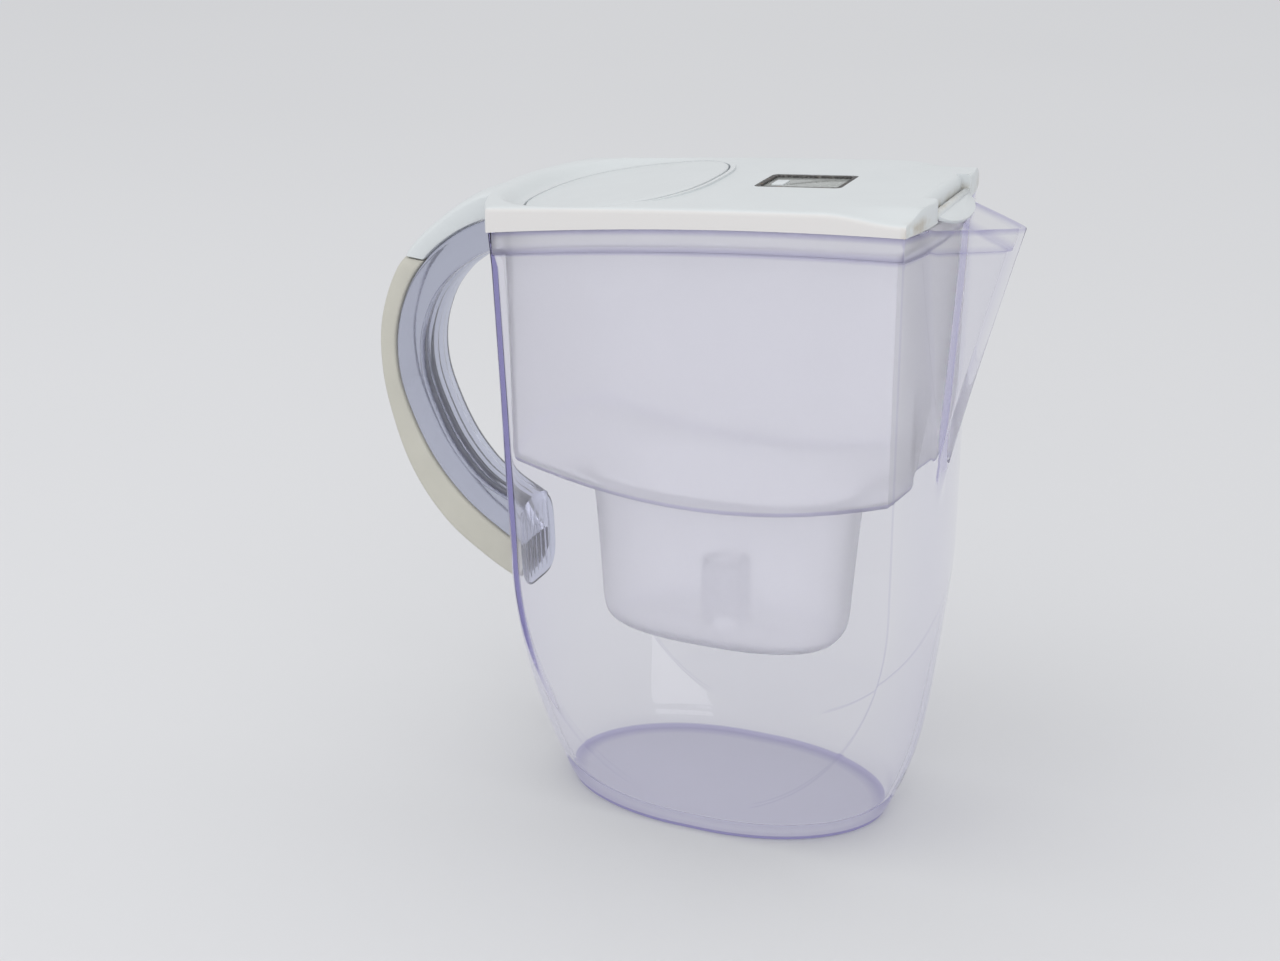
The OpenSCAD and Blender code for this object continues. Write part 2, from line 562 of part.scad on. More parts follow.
// Indicator, from the frame down; heights are measured from the frame's top face
bezel_t = 2;
lip_t = 0.8;
window_t = 1;
window_top = -lip_t - 0.05;
seal_t = 0.55;
seal_top = -bezel_t - 0.05;
housing_top = seal_top - seal_t - 0.05;
housing_wall = 1.2;
inner_l = frame_l - 2 * frame_rim;
inner_w = frame_w - 2 * frame_rim;
body_l = frame_l - 0.6;
body_w = frame_w - 0.6;
cavity_l = body_l - 2 * housing_wall;
cavity_w = body_w - 2 * housing_wall;
lcd_t = 1.4;
lcd_top = window_top - window_t - 0.3;
strip_h = 1.4;
board_t = 1;
board_top = lcd_top - lcd_t - strip_h - 0.1;
board_bottom = board_top - board_t;
dome_h = 0.4;
cell_top = board_bottom - 0.3;
clip_t = 0.4;
button_x = -frame_l / 2 + frame_rim + 1.8 + button_l / 2;
lcd_l = inner_l - button_l - 5.4;
lcd_x = inner_l / 2 - 1.2 - lcd_l / 2;

module indicator_bezel() {
  color([0.30, 0.30, 0.31]) in_frame() difference() {
    slab(frame_l, frame_w, -bezel_t, 0);
    slab(inner_l, inner_w, -bezel_t - 1, 1);
    slab(inner_l + 2, inner_w + 2, -bezel_t - 1, -lip_t);
  }
}
module indicator_window() {
  color([0.70, 0.74, 0.74, 0.4]) in_frame() difference() {
    slab(inner_l + 2 - 2 * slip, inner_w + 2 - 2 * slip, window_top - window_t, window_top);
    translate([button_x, 0, 0]) slab(button_l + 2 * slip, button_w + 2 * slip, -bezel_t - 1, 1);
  }
}
module indicator_seal() {
  color([0.20, 0.20, 0.20]) in_frame() difference() {
    slab(body_l, body_w, seal_top - seal_t, seal_top);
    slab(cavity_l, cavity_w, seal_top - seal_t - 1, seal_top + 1);
  }
}
module indicator_housing() {
  ledge = 1.7;
  color([0.85, 0.85, 0.85]) in_frame() difference() {
    slab(body_l, body_w, -housing_h, housing_top);
    slab(cavity_l, cavity_w, board_bottom - 0.05, 1);
    slab(cavity_l - 2 * ledge, cavity_w - 2 * ledge, -housing_h + housing_wall, 1);
  }
}
module indicator_lcd() {
  color([0.55, 0.57, 0.54]) in_frame() translate([lcd_x, 0, lcd_top])
    slab(lcd_l, inner_w - 1, -lcd_t, 0);
}
module indicator_contact_strips() {
  color([0.75, 0.55, 0.60]) in_frame() for (side = [-1, 1])
    translate([lcd_x, side * (inner_w / 2 - 2), lcd_top - lcd_t - 0.05]) slab(lcd_l - 2, 1.6, -strip_h, 0);
}
module indicator_board() {
  color([0.13, 0.36, 0.22]) in_frame()
    slab(cavity_l - 2 * slip, cavity_w - 2 * slip, board_bottom, board_top);
}
module indicator_dome() {
  color([0.80, 0.80, 0.80]) in_frame() translate([button_x, 0, board_top + 0.02])
    cylinder(d = button_l - 0.4, h = dome_h, $fn = 48);
}
module indicator_cell() {
  color([0.76, 0.77, 0.78]) in_frame() translate([0, 0, cell_top - cell_t])
    cylinder(d = cell_d, h = cell_t, $fn = 64);
}
module indicator_cell_clip() {
  leg_y = cell_d / 2 + slip;
  clip_w = 5;
  clip_z = cell_top - cell_t - 0.05 - clip_t;
  color([0.83, 0.80, 0.66]) in_frame() {
    translate([0, 0, clip_z]) slab(clip_w, 2 * leg_y + 2 * clip_t, 0, clip_t);
    for (side = [0, 1]) mirror([0, side, 0]) translate([-clip_w / 2, leg_y, clip_z])
      cube([clip_w, clip_t, board_bottom - clip_z - 0.05]);
  }
}
module reset_button() {
  stem_bottom = board_top + 0.02 + dome_h + button_travel + 0.1;
  flange_top = window_top - window_t - 0.05;
  color([0.80, 0.82, 0.83]) in_frame() translate([button_x, 0, 0]) {
    slab(button_l, button_w, flange_top - 0.4, -lip_t / 2);
    slab(button_l + 1.2, button_w + 1.6, flange_top - 0.5, flange_top);
    translate([0, 0, stem_bottom]) cylinder(d = button_l - 2, h = flange_top - stem_bottom, $fn = 32);
  }
}

jug();
handle_core();
handle_strip();
hopper();
lid_shell();
fill_flap();
pour_flap();
indicator_bezel();
indicator_window();
indicator_seal();
indicator_housing();
indicator_lcd();
indicator_contact_strips();
indicator_board();
indicator_dome();
indicator_cell();
indicator_cell_clip();
reset_button();
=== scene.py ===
"""A filter pitcher: clear jug, handle, frosted hopper, white lid with two flaps and a filter indicator.

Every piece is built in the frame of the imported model: +X points to the spout, +Z up, metres.
The shapes are worked out in millimetres and brought to metres when a mesh is made.
"""

import math
from functools import cached_property

import bmesh
import bpy
import numpy as np
from bpy.props import FloatProperty, FloatVectorProperty, PointerProperty
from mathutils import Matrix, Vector, noise


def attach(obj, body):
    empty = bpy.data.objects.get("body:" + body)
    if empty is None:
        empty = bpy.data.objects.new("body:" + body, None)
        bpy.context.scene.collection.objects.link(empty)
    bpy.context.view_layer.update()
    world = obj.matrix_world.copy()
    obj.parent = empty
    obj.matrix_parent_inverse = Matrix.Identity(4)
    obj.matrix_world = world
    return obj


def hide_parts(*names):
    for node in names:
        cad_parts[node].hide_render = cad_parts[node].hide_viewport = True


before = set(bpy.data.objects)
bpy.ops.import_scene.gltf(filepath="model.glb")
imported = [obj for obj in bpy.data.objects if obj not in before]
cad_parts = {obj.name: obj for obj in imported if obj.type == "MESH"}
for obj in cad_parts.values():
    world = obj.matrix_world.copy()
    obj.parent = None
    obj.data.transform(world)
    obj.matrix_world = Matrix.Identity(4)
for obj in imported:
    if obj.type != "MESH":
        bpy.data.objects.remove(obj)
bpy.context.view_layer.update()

bl_info = {
    "name": "Filter pitcher",
    "version": (1, 0, 0),
    "blender": (4, 5, 0),
    "location": "View3D > Sidebar > Pitcher",
    "description": "Makes a filter pitcher with its hopper, lid, flaps and filter indicator",
    "category": "Add Mesh",
}

MM = 0.001


# Sizes and colours

def length(name, description, default):
    return FloatProperty(name=name, description=description, default=default, min=0, precision=5,
                         subtype="DISTANCE", unit="LENGTH")


def angle(name, description, default):
    return FloatProperty(name=name, description=description, default=math.radians(default),
                         subtype="ANGLE", unit="ROTATION")


def factor(name, description, default):
    return FloatProperty(name=name, description=description, default=default, min=0, max=1,
                         subtype="FACTOR")


def colour(name, description, default):
    return FloatVectorProperty(name=name, description=description, default=default, min=0, max=1,
                               size=3, subtype="COLOR")


class JugSizes(bpy.types.PropertyGroup):
    rim_h: length("Rim height", "Height of the rim arch at its crest", 0.2606)
    width: length("Width", "Width across the flat side panels", 0.100)
    rear_reach: length("Rear reach", "How far the rear wall reaches behind the origin", 0.097)
    front_reach: length("Front reach", "How far the front wall reaches ahead of the origin", 0.088)
    foot_l: length("Foot length", "Length of the oval foot", 0.141)
    foot_w: length("Foot width", "Width of the oval foot", 0.089)
    spout_reach: length("Spout reach", "How far the spout's tip reaches ahead of the origin", 0.115)
    spout_w: length("Spout width", "Width of the spout at the rim", 0.056)
    spout_start: length("Spout start", "Height at which the spout leaves the wall", 0.144)
    wall: length("Wall", "Thickness of the jug's wall", 0.003)
    floor_t: length("Floor", "Thickness of the jug's floor", 0.0045)
    band: length("Rim band", "Depth below the rim of the ledge that carries the hopper", 0.0095)
    rim_wall: length("Rim wall", "Thickness of the wall above the ledge", 0.0016)
    tint: colour("Tint", "Colour that thick clear plastic takes", (0.58, 0.55, 0.80))
    # edge is painted shade: the dark violet painted along the jug's and the hopper's rims, ledges, feet and
    # creases, where thick clear plastic looks dark
    edge: colour("Edges", "Colour that the edges of the clear plastic take", (0.46, 0.43, 0.70))
    depth: FloatProperty(name="Tint depth", description="How fast the tint deepens per metre",
                         default=24.0, min=0)


class HandleSizes(bpy.types.PropertyGroup):
    reach: length("Reach", "How far the handle's line stands out behind the rear wall", 0.051)
    width: length("Width", "Width of the handle", 0.026)
    core_t: length("Core", "Thickness of the core", 0.011)
    strip_t: length("Strip", "Thickness of the strip at its edges", 0.0057)
    strip_foot_t: length("Strip foot", "Thickness of the strip at its foot", 0.013)
    strip_crown: length("Strip crown", "How far the strip's middle stands out", 0.004)
    pad_h: length("Pad height", "Height of the pad on the rear wall", 0.038)
    pad_w: length("Pad width", "Width of the pad on the rear wall", 0.032)
    groove: length("Groove", "Depth of the grooves along the core", 0.0011)
    core_tint: colour("Core tint", "Colour that the thick clear core takes", (0.46, 0.47, 0.56))
    ivory: colour("Ivory", "Colour of the strip", (0.535, 0.525, 0.465))


class HopperSizes(bpy.types.PropertyGroup):
    wall: length("Wall", "Thickness of the hopper's wall", 0.002)
    gap: length("Gap", "Gap between the hopper and the jug's sides", 0.001)
    floor_z: length("Floor height", "Height of the lowest point of the tray's floor", 0.1405)
    well_l: length("Well length", "Length of the cartridge well", 0.111)
    well_w: length("Well width", "Width of the cartridge well", 0.064)
    well_z: length("Well height", "Height of the underside of the well", 0.074)
    post_d: length("Post", "Diameter of the outlet post", 0.020)
    post_z: length("Post height", "Height of the top of the outlet post", 0.104)
    bore_d: length("Bore", "Diameter of the post's bore", 0.012)
    drain_d: length("Drain", "Diameter of each drain hole", 0.004)
    tint: colour("Tint", "Colour of the frosted plastic", (0.962, 0.960, 0.966))
    frost: factor("Frost", "How strongly the plastic scatters", 0.28)


class LidSizes(bpy.types.PropertyGroup):
    rise: length("Rise", "Height of the lid's front above the rim", 0.0082)
    crown: length("Crown", "Height of the lid's middle over its edges", 0.001)
    wall: length("Wall", "Thickness of the lid's top", 0.002)
    proud: length("Overhang", "How far the skirt stands out beyond the jug", 0.0005)
    tail_t: length("Tail", "Depth of the tail where it leaves the lid", 0.011)
    flap_l: length("Flap length", "Length of the oval fill flap", 0.074)
    flap_w: length("Flap width", "Width of the oval fill flap", 0.088)
    flap_t: length("Flap thickness", "Thickness of the fill flap", 0.002)
    flap_gap: length("Flap gap", "Gap round the fill flap", 0.0008)
    flap_pin: length("Flap pin", "Diameter of the fill flap's pins", 0.003)
    flap_back: length("Flap pivot", "How far the pivot lies behind the flap's middle", 0.007)
    flap_tilt: angle("Flap tilt", "Slope of the fill flap", 9.6)
    pour_w: length("Pour flap width", "Width of the pour flap", 0.044)
    pour_reach: length("Pour flap reach", "How far the pour flap reaches ahead", 0.0075)
    pour_t: length("Pour flap thickness", "Thickness of the pour flap", 0.0016)
    pour_pin: length("Pour flap pin", "Diameter of the pour flap's pins", 0.0022)
    white: colour("White", "Colour of the lid", (0.635, 0.668, 0.682))
    # grime is dirt and painted shade on the wall of the front notch, and dirt alone on the lid's specks
    grime: colour("Grime", "Colour of the dirt in the front notch", (0.36, 0.30, 0.20))


class IndicatorSizes(bpy.types.PropertyGroup):
    length: length("Length", "Length of the frame", 0.035)
    width: length("Width", "Width of the frame", 0.024)
    centre: length("Centre", "Distance of the indicator ahead of the origin", 0.0285)
    rim: length("Rim", "Width of the frame's rim", 0.0025)
    depth: length("Depth", "Depth of the housing", 0.0106)
    button_l: length("Button length", "Length of the reset button", 0.005)
    button_w: length("Button width", "Width of the reset button", 0.008)
    dark: colour("Frame", "Colour of the frame", (0.060, 0.058, 0.056))
    display: colour("Display", "Colour of the display", (0.46, 0.48, 0.46))
    button: colour("Button", "Colour of the reset button", (0.66, 0.70, 0.72))


class StageSizes(bpy.types.PropertyGroup):
    floor_r: length("Floor", "Radius of the floor", 9.0)
    lens: FloatProperty(name="Lens", description="Focal length in millimetres", default=59.18)
    azimuth: angle("Azimuth", "Direction of view, from +Y towards -X", 23.4)
    elevation: angle("Elevation", "Height of the camera over the horizon", 20.6)
    distance: length("Distance", "Distance of the camera from what it looks at", 0.8814)
    aim_x: FloatProperty(name="Aim X", description="Where the camera looks", default=-0.0413,
                         subtype="DISTANCE", unit="LENGTH")
    aim_z: FloatProperty(name="Aim Z", description="Where the camera looks", default=0.1329,
                         subtype="DISTANCE", unit="LENGTH")
    pale: colour("Pale", "Colour of the floor and the backdrop", (0.690, 0.697, 0.717))
    sky: FloatProperty(name="Sky", description="Level of the light from all round", default=0.92)
    key: FloatProperty(name="Key lamp", description="Power of the lamp overhead, in watts",
                       default=5.0)
    fill: FloatProperty(name="Fill lamp", description="Power of the lamp beside the camera, in watts",
                        default=12.0)


SIZES = {"jug": JugSizes, "handle": HandleSizes, "hopper": HopperSizes, "lid": LidSizes,
         "indicator": IndicatorSizes, "stage": StageSizes}


class Sizes:
    """The scene's sizes, with every length in millimetres."""

    def __init__(self, scene):
        for part, group in SIZES.items():
            values = getattr(scene, "pitcher_" + part)
            for prop in group.bl_rna.properties:
                if prop.identifier in ("rna_type", "name"):
                    continue
                value = getattr(values, prop.identifier)
                if getattr(prop, "unit", "") == "LENGTH":
                    value = value / MM
                elif getattr(prop, "is_array", False):
                    value = tuple(value)
                setattr(self, part + "_" + prop.identifier, value)


# Curves shared by the pieces

SEAM = 0.3
PIN_GAP = 0.05
SLIP = 0.15


def lerp(a, b, t):
    return a + (b - a) * t


def unit(t):
    return np.clip(t, 0, 1)


def smooth(t):
    c = unit(t)
    return c * c * (3 - 2 * c)


def signed_pow(v, e):
    return np.sign(v) * np.abs(v) ** e


def past(y, radius):
    """A straight rise whose start is rounded to a radius."""
    return np.sqrt(y * y + radius * radius) - radius


def end_arc(y, reach, corner, half, turn):
    """How far the arc at an end of the outline reaches, at y from the middle."""
    a = np.arcsin(np.minimum(1, y / half * math.sin(turn)))
    return reach - (reach - corner) * (1 - np.cos(a)) / (1 - math.cos(turn))


def turns(n):
    """Angles of n points round a circle."""
    return np.linspace(0, 2 * math.pi, n, endpoint=False)


def level(points, z):
    """An outline's points at a height."""
    return np.column_stack([points, np.full(len(points), z)])


def circle(x, y, radius, z, n):
    a = turns(n)
    return level(np.column_stack([x + radius * np.cos(a), y + radius * np.sin(a)]), z)


class Body:
    """The outline of the jug against height, and the arches of its rim and lid."""

    rim_arch_r = 1500
    rim_crest_x = 125
    curve_h = 36
    panel_z = 12
    panel_rise = 100
    panel_draft = 2.5
    swell_pow = 2.1
    rear_flare = 7
    corner_min = 8
    tip_round = 2.5
    ridge_bow = 1.15
    root_min = 6
    rear_share = 0.35
    front_share = 0.2
    tip_share = 1.41
    root_share = 0.41
    front_corner_back = 5.4
    rear_corner_back = 13
    belly_rear_back = 10.5
    belly_front_back = 1
    rim_end_drop = 4.6
    corner_dip = 1.9
    spout_fall = 0.09
    foot_turn = 88
    panel_turn = 57
    turn_fade = 13
    turn_loss = 12
    steps = (34, 16, 18, 22)

    def __init__(self, s):
        self.s = s
        self.front_corner = s.jug_front_reach - self.front_corner_back
        self.rear_corner = s.jug_rear_reach - self.rear_corner_back
        self.belly_rear = s.jug_rear_reach - self.belly_rear_back
        self.belly_front = s.jug_front_reach - self.belly_front_back
        self.top_z = s.jug_rim_h - self.rim_end_drop

    def rim_z(self, x):
        return self.s.jug_rim_h - (self.rim_crest_x - x) ** 2 / (2 * self.rim_arch_r)

    def edge_z(self, x):
        front = self.belly_front
        return (self.rim_z(x) - self.corner_dip * unit((x - self.front_corner) / (front - self.front_corner))
                - self.spout_fall * np.maximum(0, x - front))

    def wall_at(self, z, belly, reach):
        bulge = 1 - 2 / (math.exp(2 * z / self.curve_h) + 1)
        return lerp(self.s.jug_foot_l / 2, belly, bulge) + (reach - belly) * z / self.s.jug_rim_h

    def half_at(self, z):
        half = self.s.jug_width / 2
        if z < self.panel_z:
            return lerp(self.s.jug_foot_w / 2, half - self.panel_draft,
                        math.sin(math.pi / 2 * z / self.panel_z))
        rise = (z - self.panel_z) / (self.s.jug_rim_h - self.panel_z)
        return half - self.panel_draft * (1 - rise)

    def swell(self, z):
        return math.sqrt(1 - (1 - unit((z - self.panel_z) / self.panel_rise)) ** self.swell_pow)

    def turn_at(self, z):
        if z < self.panel_z:
            return math.radians(self.foot_turn)
        more = (self.foot_turn - self.panel_turn) * math.exp(-(z - self.panel_z) / self.turn_fade)
        return math.radians(self.panel_turn + more - self.turn_loss * z / self.s.jug_rim_h)

    def sizes(self, z, d=0.0, spout=True):
        """The outline's sizes at a height, brought in by d. Each corner comes in by its own share of d."""
        s = self.s
        high = self.panel_z + self.panel_rise
        rear_corner = max(self.corner_min, (self.rear_corner - self.rear_flare) * self.swell(z)
                          + self.rear_flare * unit((z - high) / (s.jug_rim_h - high)))
        front_corner = max(self.corner_min, self.front_corner * self.swell(z))
        part = max(0, (z - s.jug_spout_start) / (self.top_z - s.jug_spout_start))
        front = self.wall_at(z, self.belly_front, s.jug_front_reach) - d
        tip = lerp(front + d, s.jug_spout_reach, part ** self.ridge_bow)
        return (self.wall_at(z, self.belly_rear, s.jug_rear_reach) - d, rear_corner - self.rear_share * d,
                self.half_at(z) - d, self.turn_at(z), front, front_corner - self.front_share * d,
                tip - self.tip_share * d if spout else front,
                max(self.root_min, s.jug_spout_w / 2 * part) - min(2, self.root_share * d))

    def outline(self, o, half_only=False):
        rear, rear_corner, half, turn, front, front_corner, tip, root = o
        n_rear, n_side, n_front, n_tip = self.steps

        y = half * np.sin(turn * np.arange(n_rear) / n_rear) / math.sin(turn)
        parts = [np.stack([-end_arc(y, rear, rear_corner, half, turn), y], 1)]
        t = np.concatenate([[0, 0.006], np.linspace(0.06, 0.94, n_side - 3), [0.994]])
        parts.append(np.stack([lerp(-rear_corner, front_corner, t), np.full(n_side, half)], 1))
        root_turn = math.asin(root / half * math.sin(turn))
        y = half * np.sin(lerp(turn, root_turn, np.arange(n_front) / n_front)) / math.sin(turn)
        parts.append(np.stack([end_arc(y, front, front_corner, half, turn), y], 1))
        y = root * (1 - np.arange(n_tip + 1) / n_tip)
        root_x = end_arc(root, front, front_corner, half, turn)
        ridge = tip - (tip - root_x) * past(y, self.tip_round) / past(root, self.tip_round)
        parts.append(np.stack([np.maximum(end_arc(y, front, front_corner, half, turn), ridge), y], 1))
        points = np.concatenate(parts)
        if half_only:
            return points
        return np.concatenate([points, points[-2:0:-1] * [1, -1]])

    def crease_columns(self):
        """Columns of the outline where the side panels meet the end arcs."""
        n = sum(self.steps)
        near = (self.steps[0], self.steps[0] + self.steps[1])
        return near + tuple(2 * n - k for k in near)

    def ring(self, z, d=0.0, spout=True, up=None):
        """The outline at a height, brought in by d, and laid at another height where up gives one."""
        return level(self.outline(self.sizes(z, d, spout)), z if up is None else up)

    def under_edge(self, points, drop):
        return np.column_stack([points[:, :2], self.edge_z(points[:, 0]) - drop])

    def rear_x(self, y, z):
        return -end_arc(np.abs(y), *self.sizes(z)[:4])


# Mesh making

SHARP = 35
WELD = 1e-6


def rounded(rings):
    """Cuts the corners of a run of rings twice, and keeps both of its ends."""
    for _ in range(2):
        out = [rings[0]]
        for a, b in zip(rings, rings[1:]):
            out += [lerp(a, b, 0.25), lerp(a, b, 0.75)]
        rings = out + [rings[-1]]
    return rings


def skin(rings):
    """Vertices and faces of a skin over rings of equal point count, capped at both ends."""
    n, m = len(rings[0]), len(rings)
    here = np.arange(n)
    ahead = (here + 1) % n
    faces = []
    for a in range(0, (m - 1) * n, n):
        faces += np.stack([a + here, a + ahead, a + n + ahead, a + n + here], 1).tolist()
    last = (m - 1) * n
    faces += [[m * n, (k + 1) % n, k] for k in range(n)]
    faces += [[m * n + 1, last + k, last + (k + 1) % n] for k in range(n)]
    return np.concatenate([*rings, [rings[0].mean(0), rings[-1].mean(0)]]), faces


def ring_shade_lines(rings, shade_marks):
    """How strongly the vertices of each ring take the painted shade of an edge line. A mark is a ring, a
    reach and a level.
    """
    line = np.zeros((len(rings), len(rings[0])))
    for mark, reach, level in shade_marks:
        for row, ring in zip(line, rings):
            if np.abs(ring - mark).max() < reach:
                row[:] = np.maximum(row, level)
    return line


def tidy_mesh(mesh, sharp=SHARP):
    """Points the faces outwards and marks the edges that are sharper than an angle."""
    bm = bmesh.new()
    bm.from_mesh(mesh)
    bmesh.ops.remove_doubles(bm, verts=bm.verts, dist=WELD)
    bmesh.ops.dissolve_degenerate(bm, edges=bm.edges, dist=WELD)
    bmesh.ops.recalc_face_normals(bm, faces=bm.faces)
    limit = math.radians(sharp)
    for face in bm.faces:
        face.smooth = True
    for edge in bm.edges:
        edge.smooth = len(edge.link_faces) == 2 and edge.calc_face_angle(0) < limit
    bm.to_mesh(mesh)
    bm.free()
    mesh.update()


def make(name, verts, faces, sharp=SHARP, line=None):
    """An object of vertices in millimetres. line holds how strongly each takes the painted shade of an edge
    line.
    """
    mesh = bpy.data.meshes.new(name)
    mesh.from_pydata((np.asarray(verts) * MM).tolist(), [], [list(f) for f in faces])
    if line is not None:
        levels = np.append(line.ravel(), [line[0].mean(), line[-1].mean()])
        mesh.attributes.new("line", "FLOAT", "POINT").data.foreach_set("value", levels)
    mesh.validate()
    tidy_mesh(mesh, sharp)
    obj = bpy.data.objects.new(name, mesh)
    bpy.context.scene.collection.objects.link(obj)
    return obj


def apply_modifiers(obj, sharp=SHARP):
    graph = bpy.context.evaluated_depsgraph_get()
    mesh = bpy.data.meshes.new_from_object(obj.evaluated_get(graph))
    obj.modifiers.clear()
    old, obj.data = obj.data, mesh
    bpy.data.meshes.remove(old)
    mesh.name = obj.name
    tidy_mesh(mesh, sharp)
    if not len(mesh.polygons):
        raise RuntimeError(obj.name + " has no faces left")


def combine(obj, other, how, sharp=SHARP):
    """Joins, cuts or intersects obj with other, which is then removed."""
    m = obj.modifiers.new(how, "BOOLEAN")
    m.operation, m.object, m.solver = how, other, "EXACT"
    apply_modifiers(obj, sharp)
    mesh = other.data
    bpy.data.objects.remove(other)
    bpy.data.meshes.remove(mesh)


def join(obj, other, sharp=SHARP):
    combine(obj, other, "UNION", sharp)


def cut(obj, other, sharp=SHARP):
    combine(obj, other, "DIFFERENCE", sharp)


def bevel(obj, width, segments):
    m = obj.modifiers.new("bevel", "BEVEL")
    m.width, m.segments, m.limit_method = width * MM, segments, "ANGLE"
    m.angle_limit = math.radians(40)
    apply_modifiers(obj)


def finish_piece(obj, material, body, node):
    obj.data.materials.clear()
    obj.data.materials.append(material)
    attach(obj, body)
    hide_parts(node)


def slab(name, x0, x1, y0, y1, z0, z1, place=None):
    """A block between corners, in millimetres, put into a tilted plane by place."""
    base = [(x0, y0), (x1, y0), (x1, y1), (x0, y1)]
    corners = np.concatenate([level(base, z0), level(base, z1)])
    if place:
        corners = place(corners)
    faces = [(0, 3, 2, 1), (4, 5, 6, 7), (0, 1, 5, 4), (1, 2, 6, 5), (2, 3, 7, 6), (3, 0, 4, 7)]
    return make(name, corners, faces)


def rod(name, x, z, radius, y0, y1, place=None, end_round=0.0):
    """A round rod along Y, with its ends chamfered where end_round says by how much."""
    spans = [(y0, radius), (y1, radius)]
    if end_round:
        spans = [(y0, radius - end_round), (y0 + end_round, radius), (y1 - end_round, radius),
                 (y1, radius - end_round)]
    rings = [circle(x, z, r, y, 48)[:, [0, 2, 1]] for y, r in spans]
    return make(name, *skin([place(r) for r in rings] if place else rings))


def tilted(x0, z0, tilt):
    """Puts points from a plane tilted about Y at (x0, z0) into the frame."""
    c, s = math.cos(tilt), math.sin(tilt)

    def place(p):
        p = np.asarray(p, float)
        return np.column_stack([x0 + p[:, 0] * c - p[:, 2] * s, p[:, 1], z0 + p[:, 0] * s + p[:, 2] * c])

    return place


# Jug

def make_jug(s):
    b = Body(s)
    band, wall, rim = s.jug_band, s.jug_wall, s.jug_rim_wall
    foot_z, foot_in, foot_land, bend_z, steps = 1.5, 0.8, 7, 232, 8
    foot = [(foot_land, 0), (0.8, 0), (0.3, 0.12), (0.08, 0.35), (0, 0.7)]
    rings = [b.ring(foot_z, foot_in + d, up=z) for d, z in foot]
    rings += [b.ring(foot_z, foot_in), b.ring(2.2, 0.3)]
    low = list(np.arange(3, 12, 1.0)) + list(np.arange(12, 60, 2.0)) + list(np.arange(60, 144, 4.0))
    high = list(np.linspace(s.jug_spout_start, bend_z, 24))
    rings += [b.ring(z) for z in low + high]

    def towards_edge(t, d, drop):
        """A ring on the way to the rim, t = 1 being the rim's curve. Its spout is as wide as it is there."""
        spout = b.sizes(lerp(bend_z, b.top_z - drop, t), d)[6:]
        p = b.outline(b.sizes(lerp(bend_z, b.top_z, t), d)[:6] + spout)
        return np.column_stack([p, lerp(bend_z, b.edge_z(p[:, 0]) - drop, t)])

    rings += [towards_edge(k / steps, 0, 0.45) for k in range(1, steps + 1)]
    edge = [(0.06, 0.18), (0.22, 0.03), (0.45, 0.0), (rim - 0.45, 0.0), (rim - 0.2, 0.05), (rim, 0.25)]
    ledge = [(rim, band * 0.5), (rim, band - 0.4), (rim + 0.1, band - 0.1), (rim + 0.35, band),
             (wall - 0.35, band), (wall - 0.08, band + 0.12), (wall, band + 0.4)]
    rings += [towards_edge(1, d, drop) for d, drop in edge + ledge]
    rings += [towards_edge(k / steps, wall, band + 0.6) for k in range(steps - 1, 0, -1)]
    rings += [b.ring(z, wall) for z in high[::-1] + [z for z in low[::-1] if z >= b.panel_z]]
    basin = [(3, 0.6, 3), (6, 1.6, 1), (6, 4, 0), (6, 8, 0)]
    rings += rounded([b.ring(b.panel_z, wall)] + [b.ring(b.panel_z - down, wall + d, up=s.jug_floor_t + up)
                                                  for down, d, up in basin])[1:]
    # Painted shade: dark lines on the rim's top edge, the ledge, the foot and the panel creases above 16 mm,
    # where thick clear plastic looks dark
    shade_marks = [(towards_edge(1, 0.8, 0), 1.2, 0.65), (towards_edge(1, (rim + wall) / 2, band), 1.2, 0.65),
             (b.ring(foot_z, foot_in, up=foot_z / 2), 0.9, 1.0),
             (b.ring(foot_z, foot_in + foot_land, up=0), 0.5, 0.5)]
    line = ring_shade_lines(rings, shade_marks)
    crease_foot, crease_shade = 16, 0.45
    for row, ring in zip(line, rings):
        for k in b.crease_columns():
            row[k] = max(row[k], crease_shade if ring[k][2] > crease_foot else 0)
    jug = make("clear_jug", *skin(rings), sharp=50, line=line)
    finish_piece(jug, clear_plastic(s), "jug_body", "jug")


# Hopper

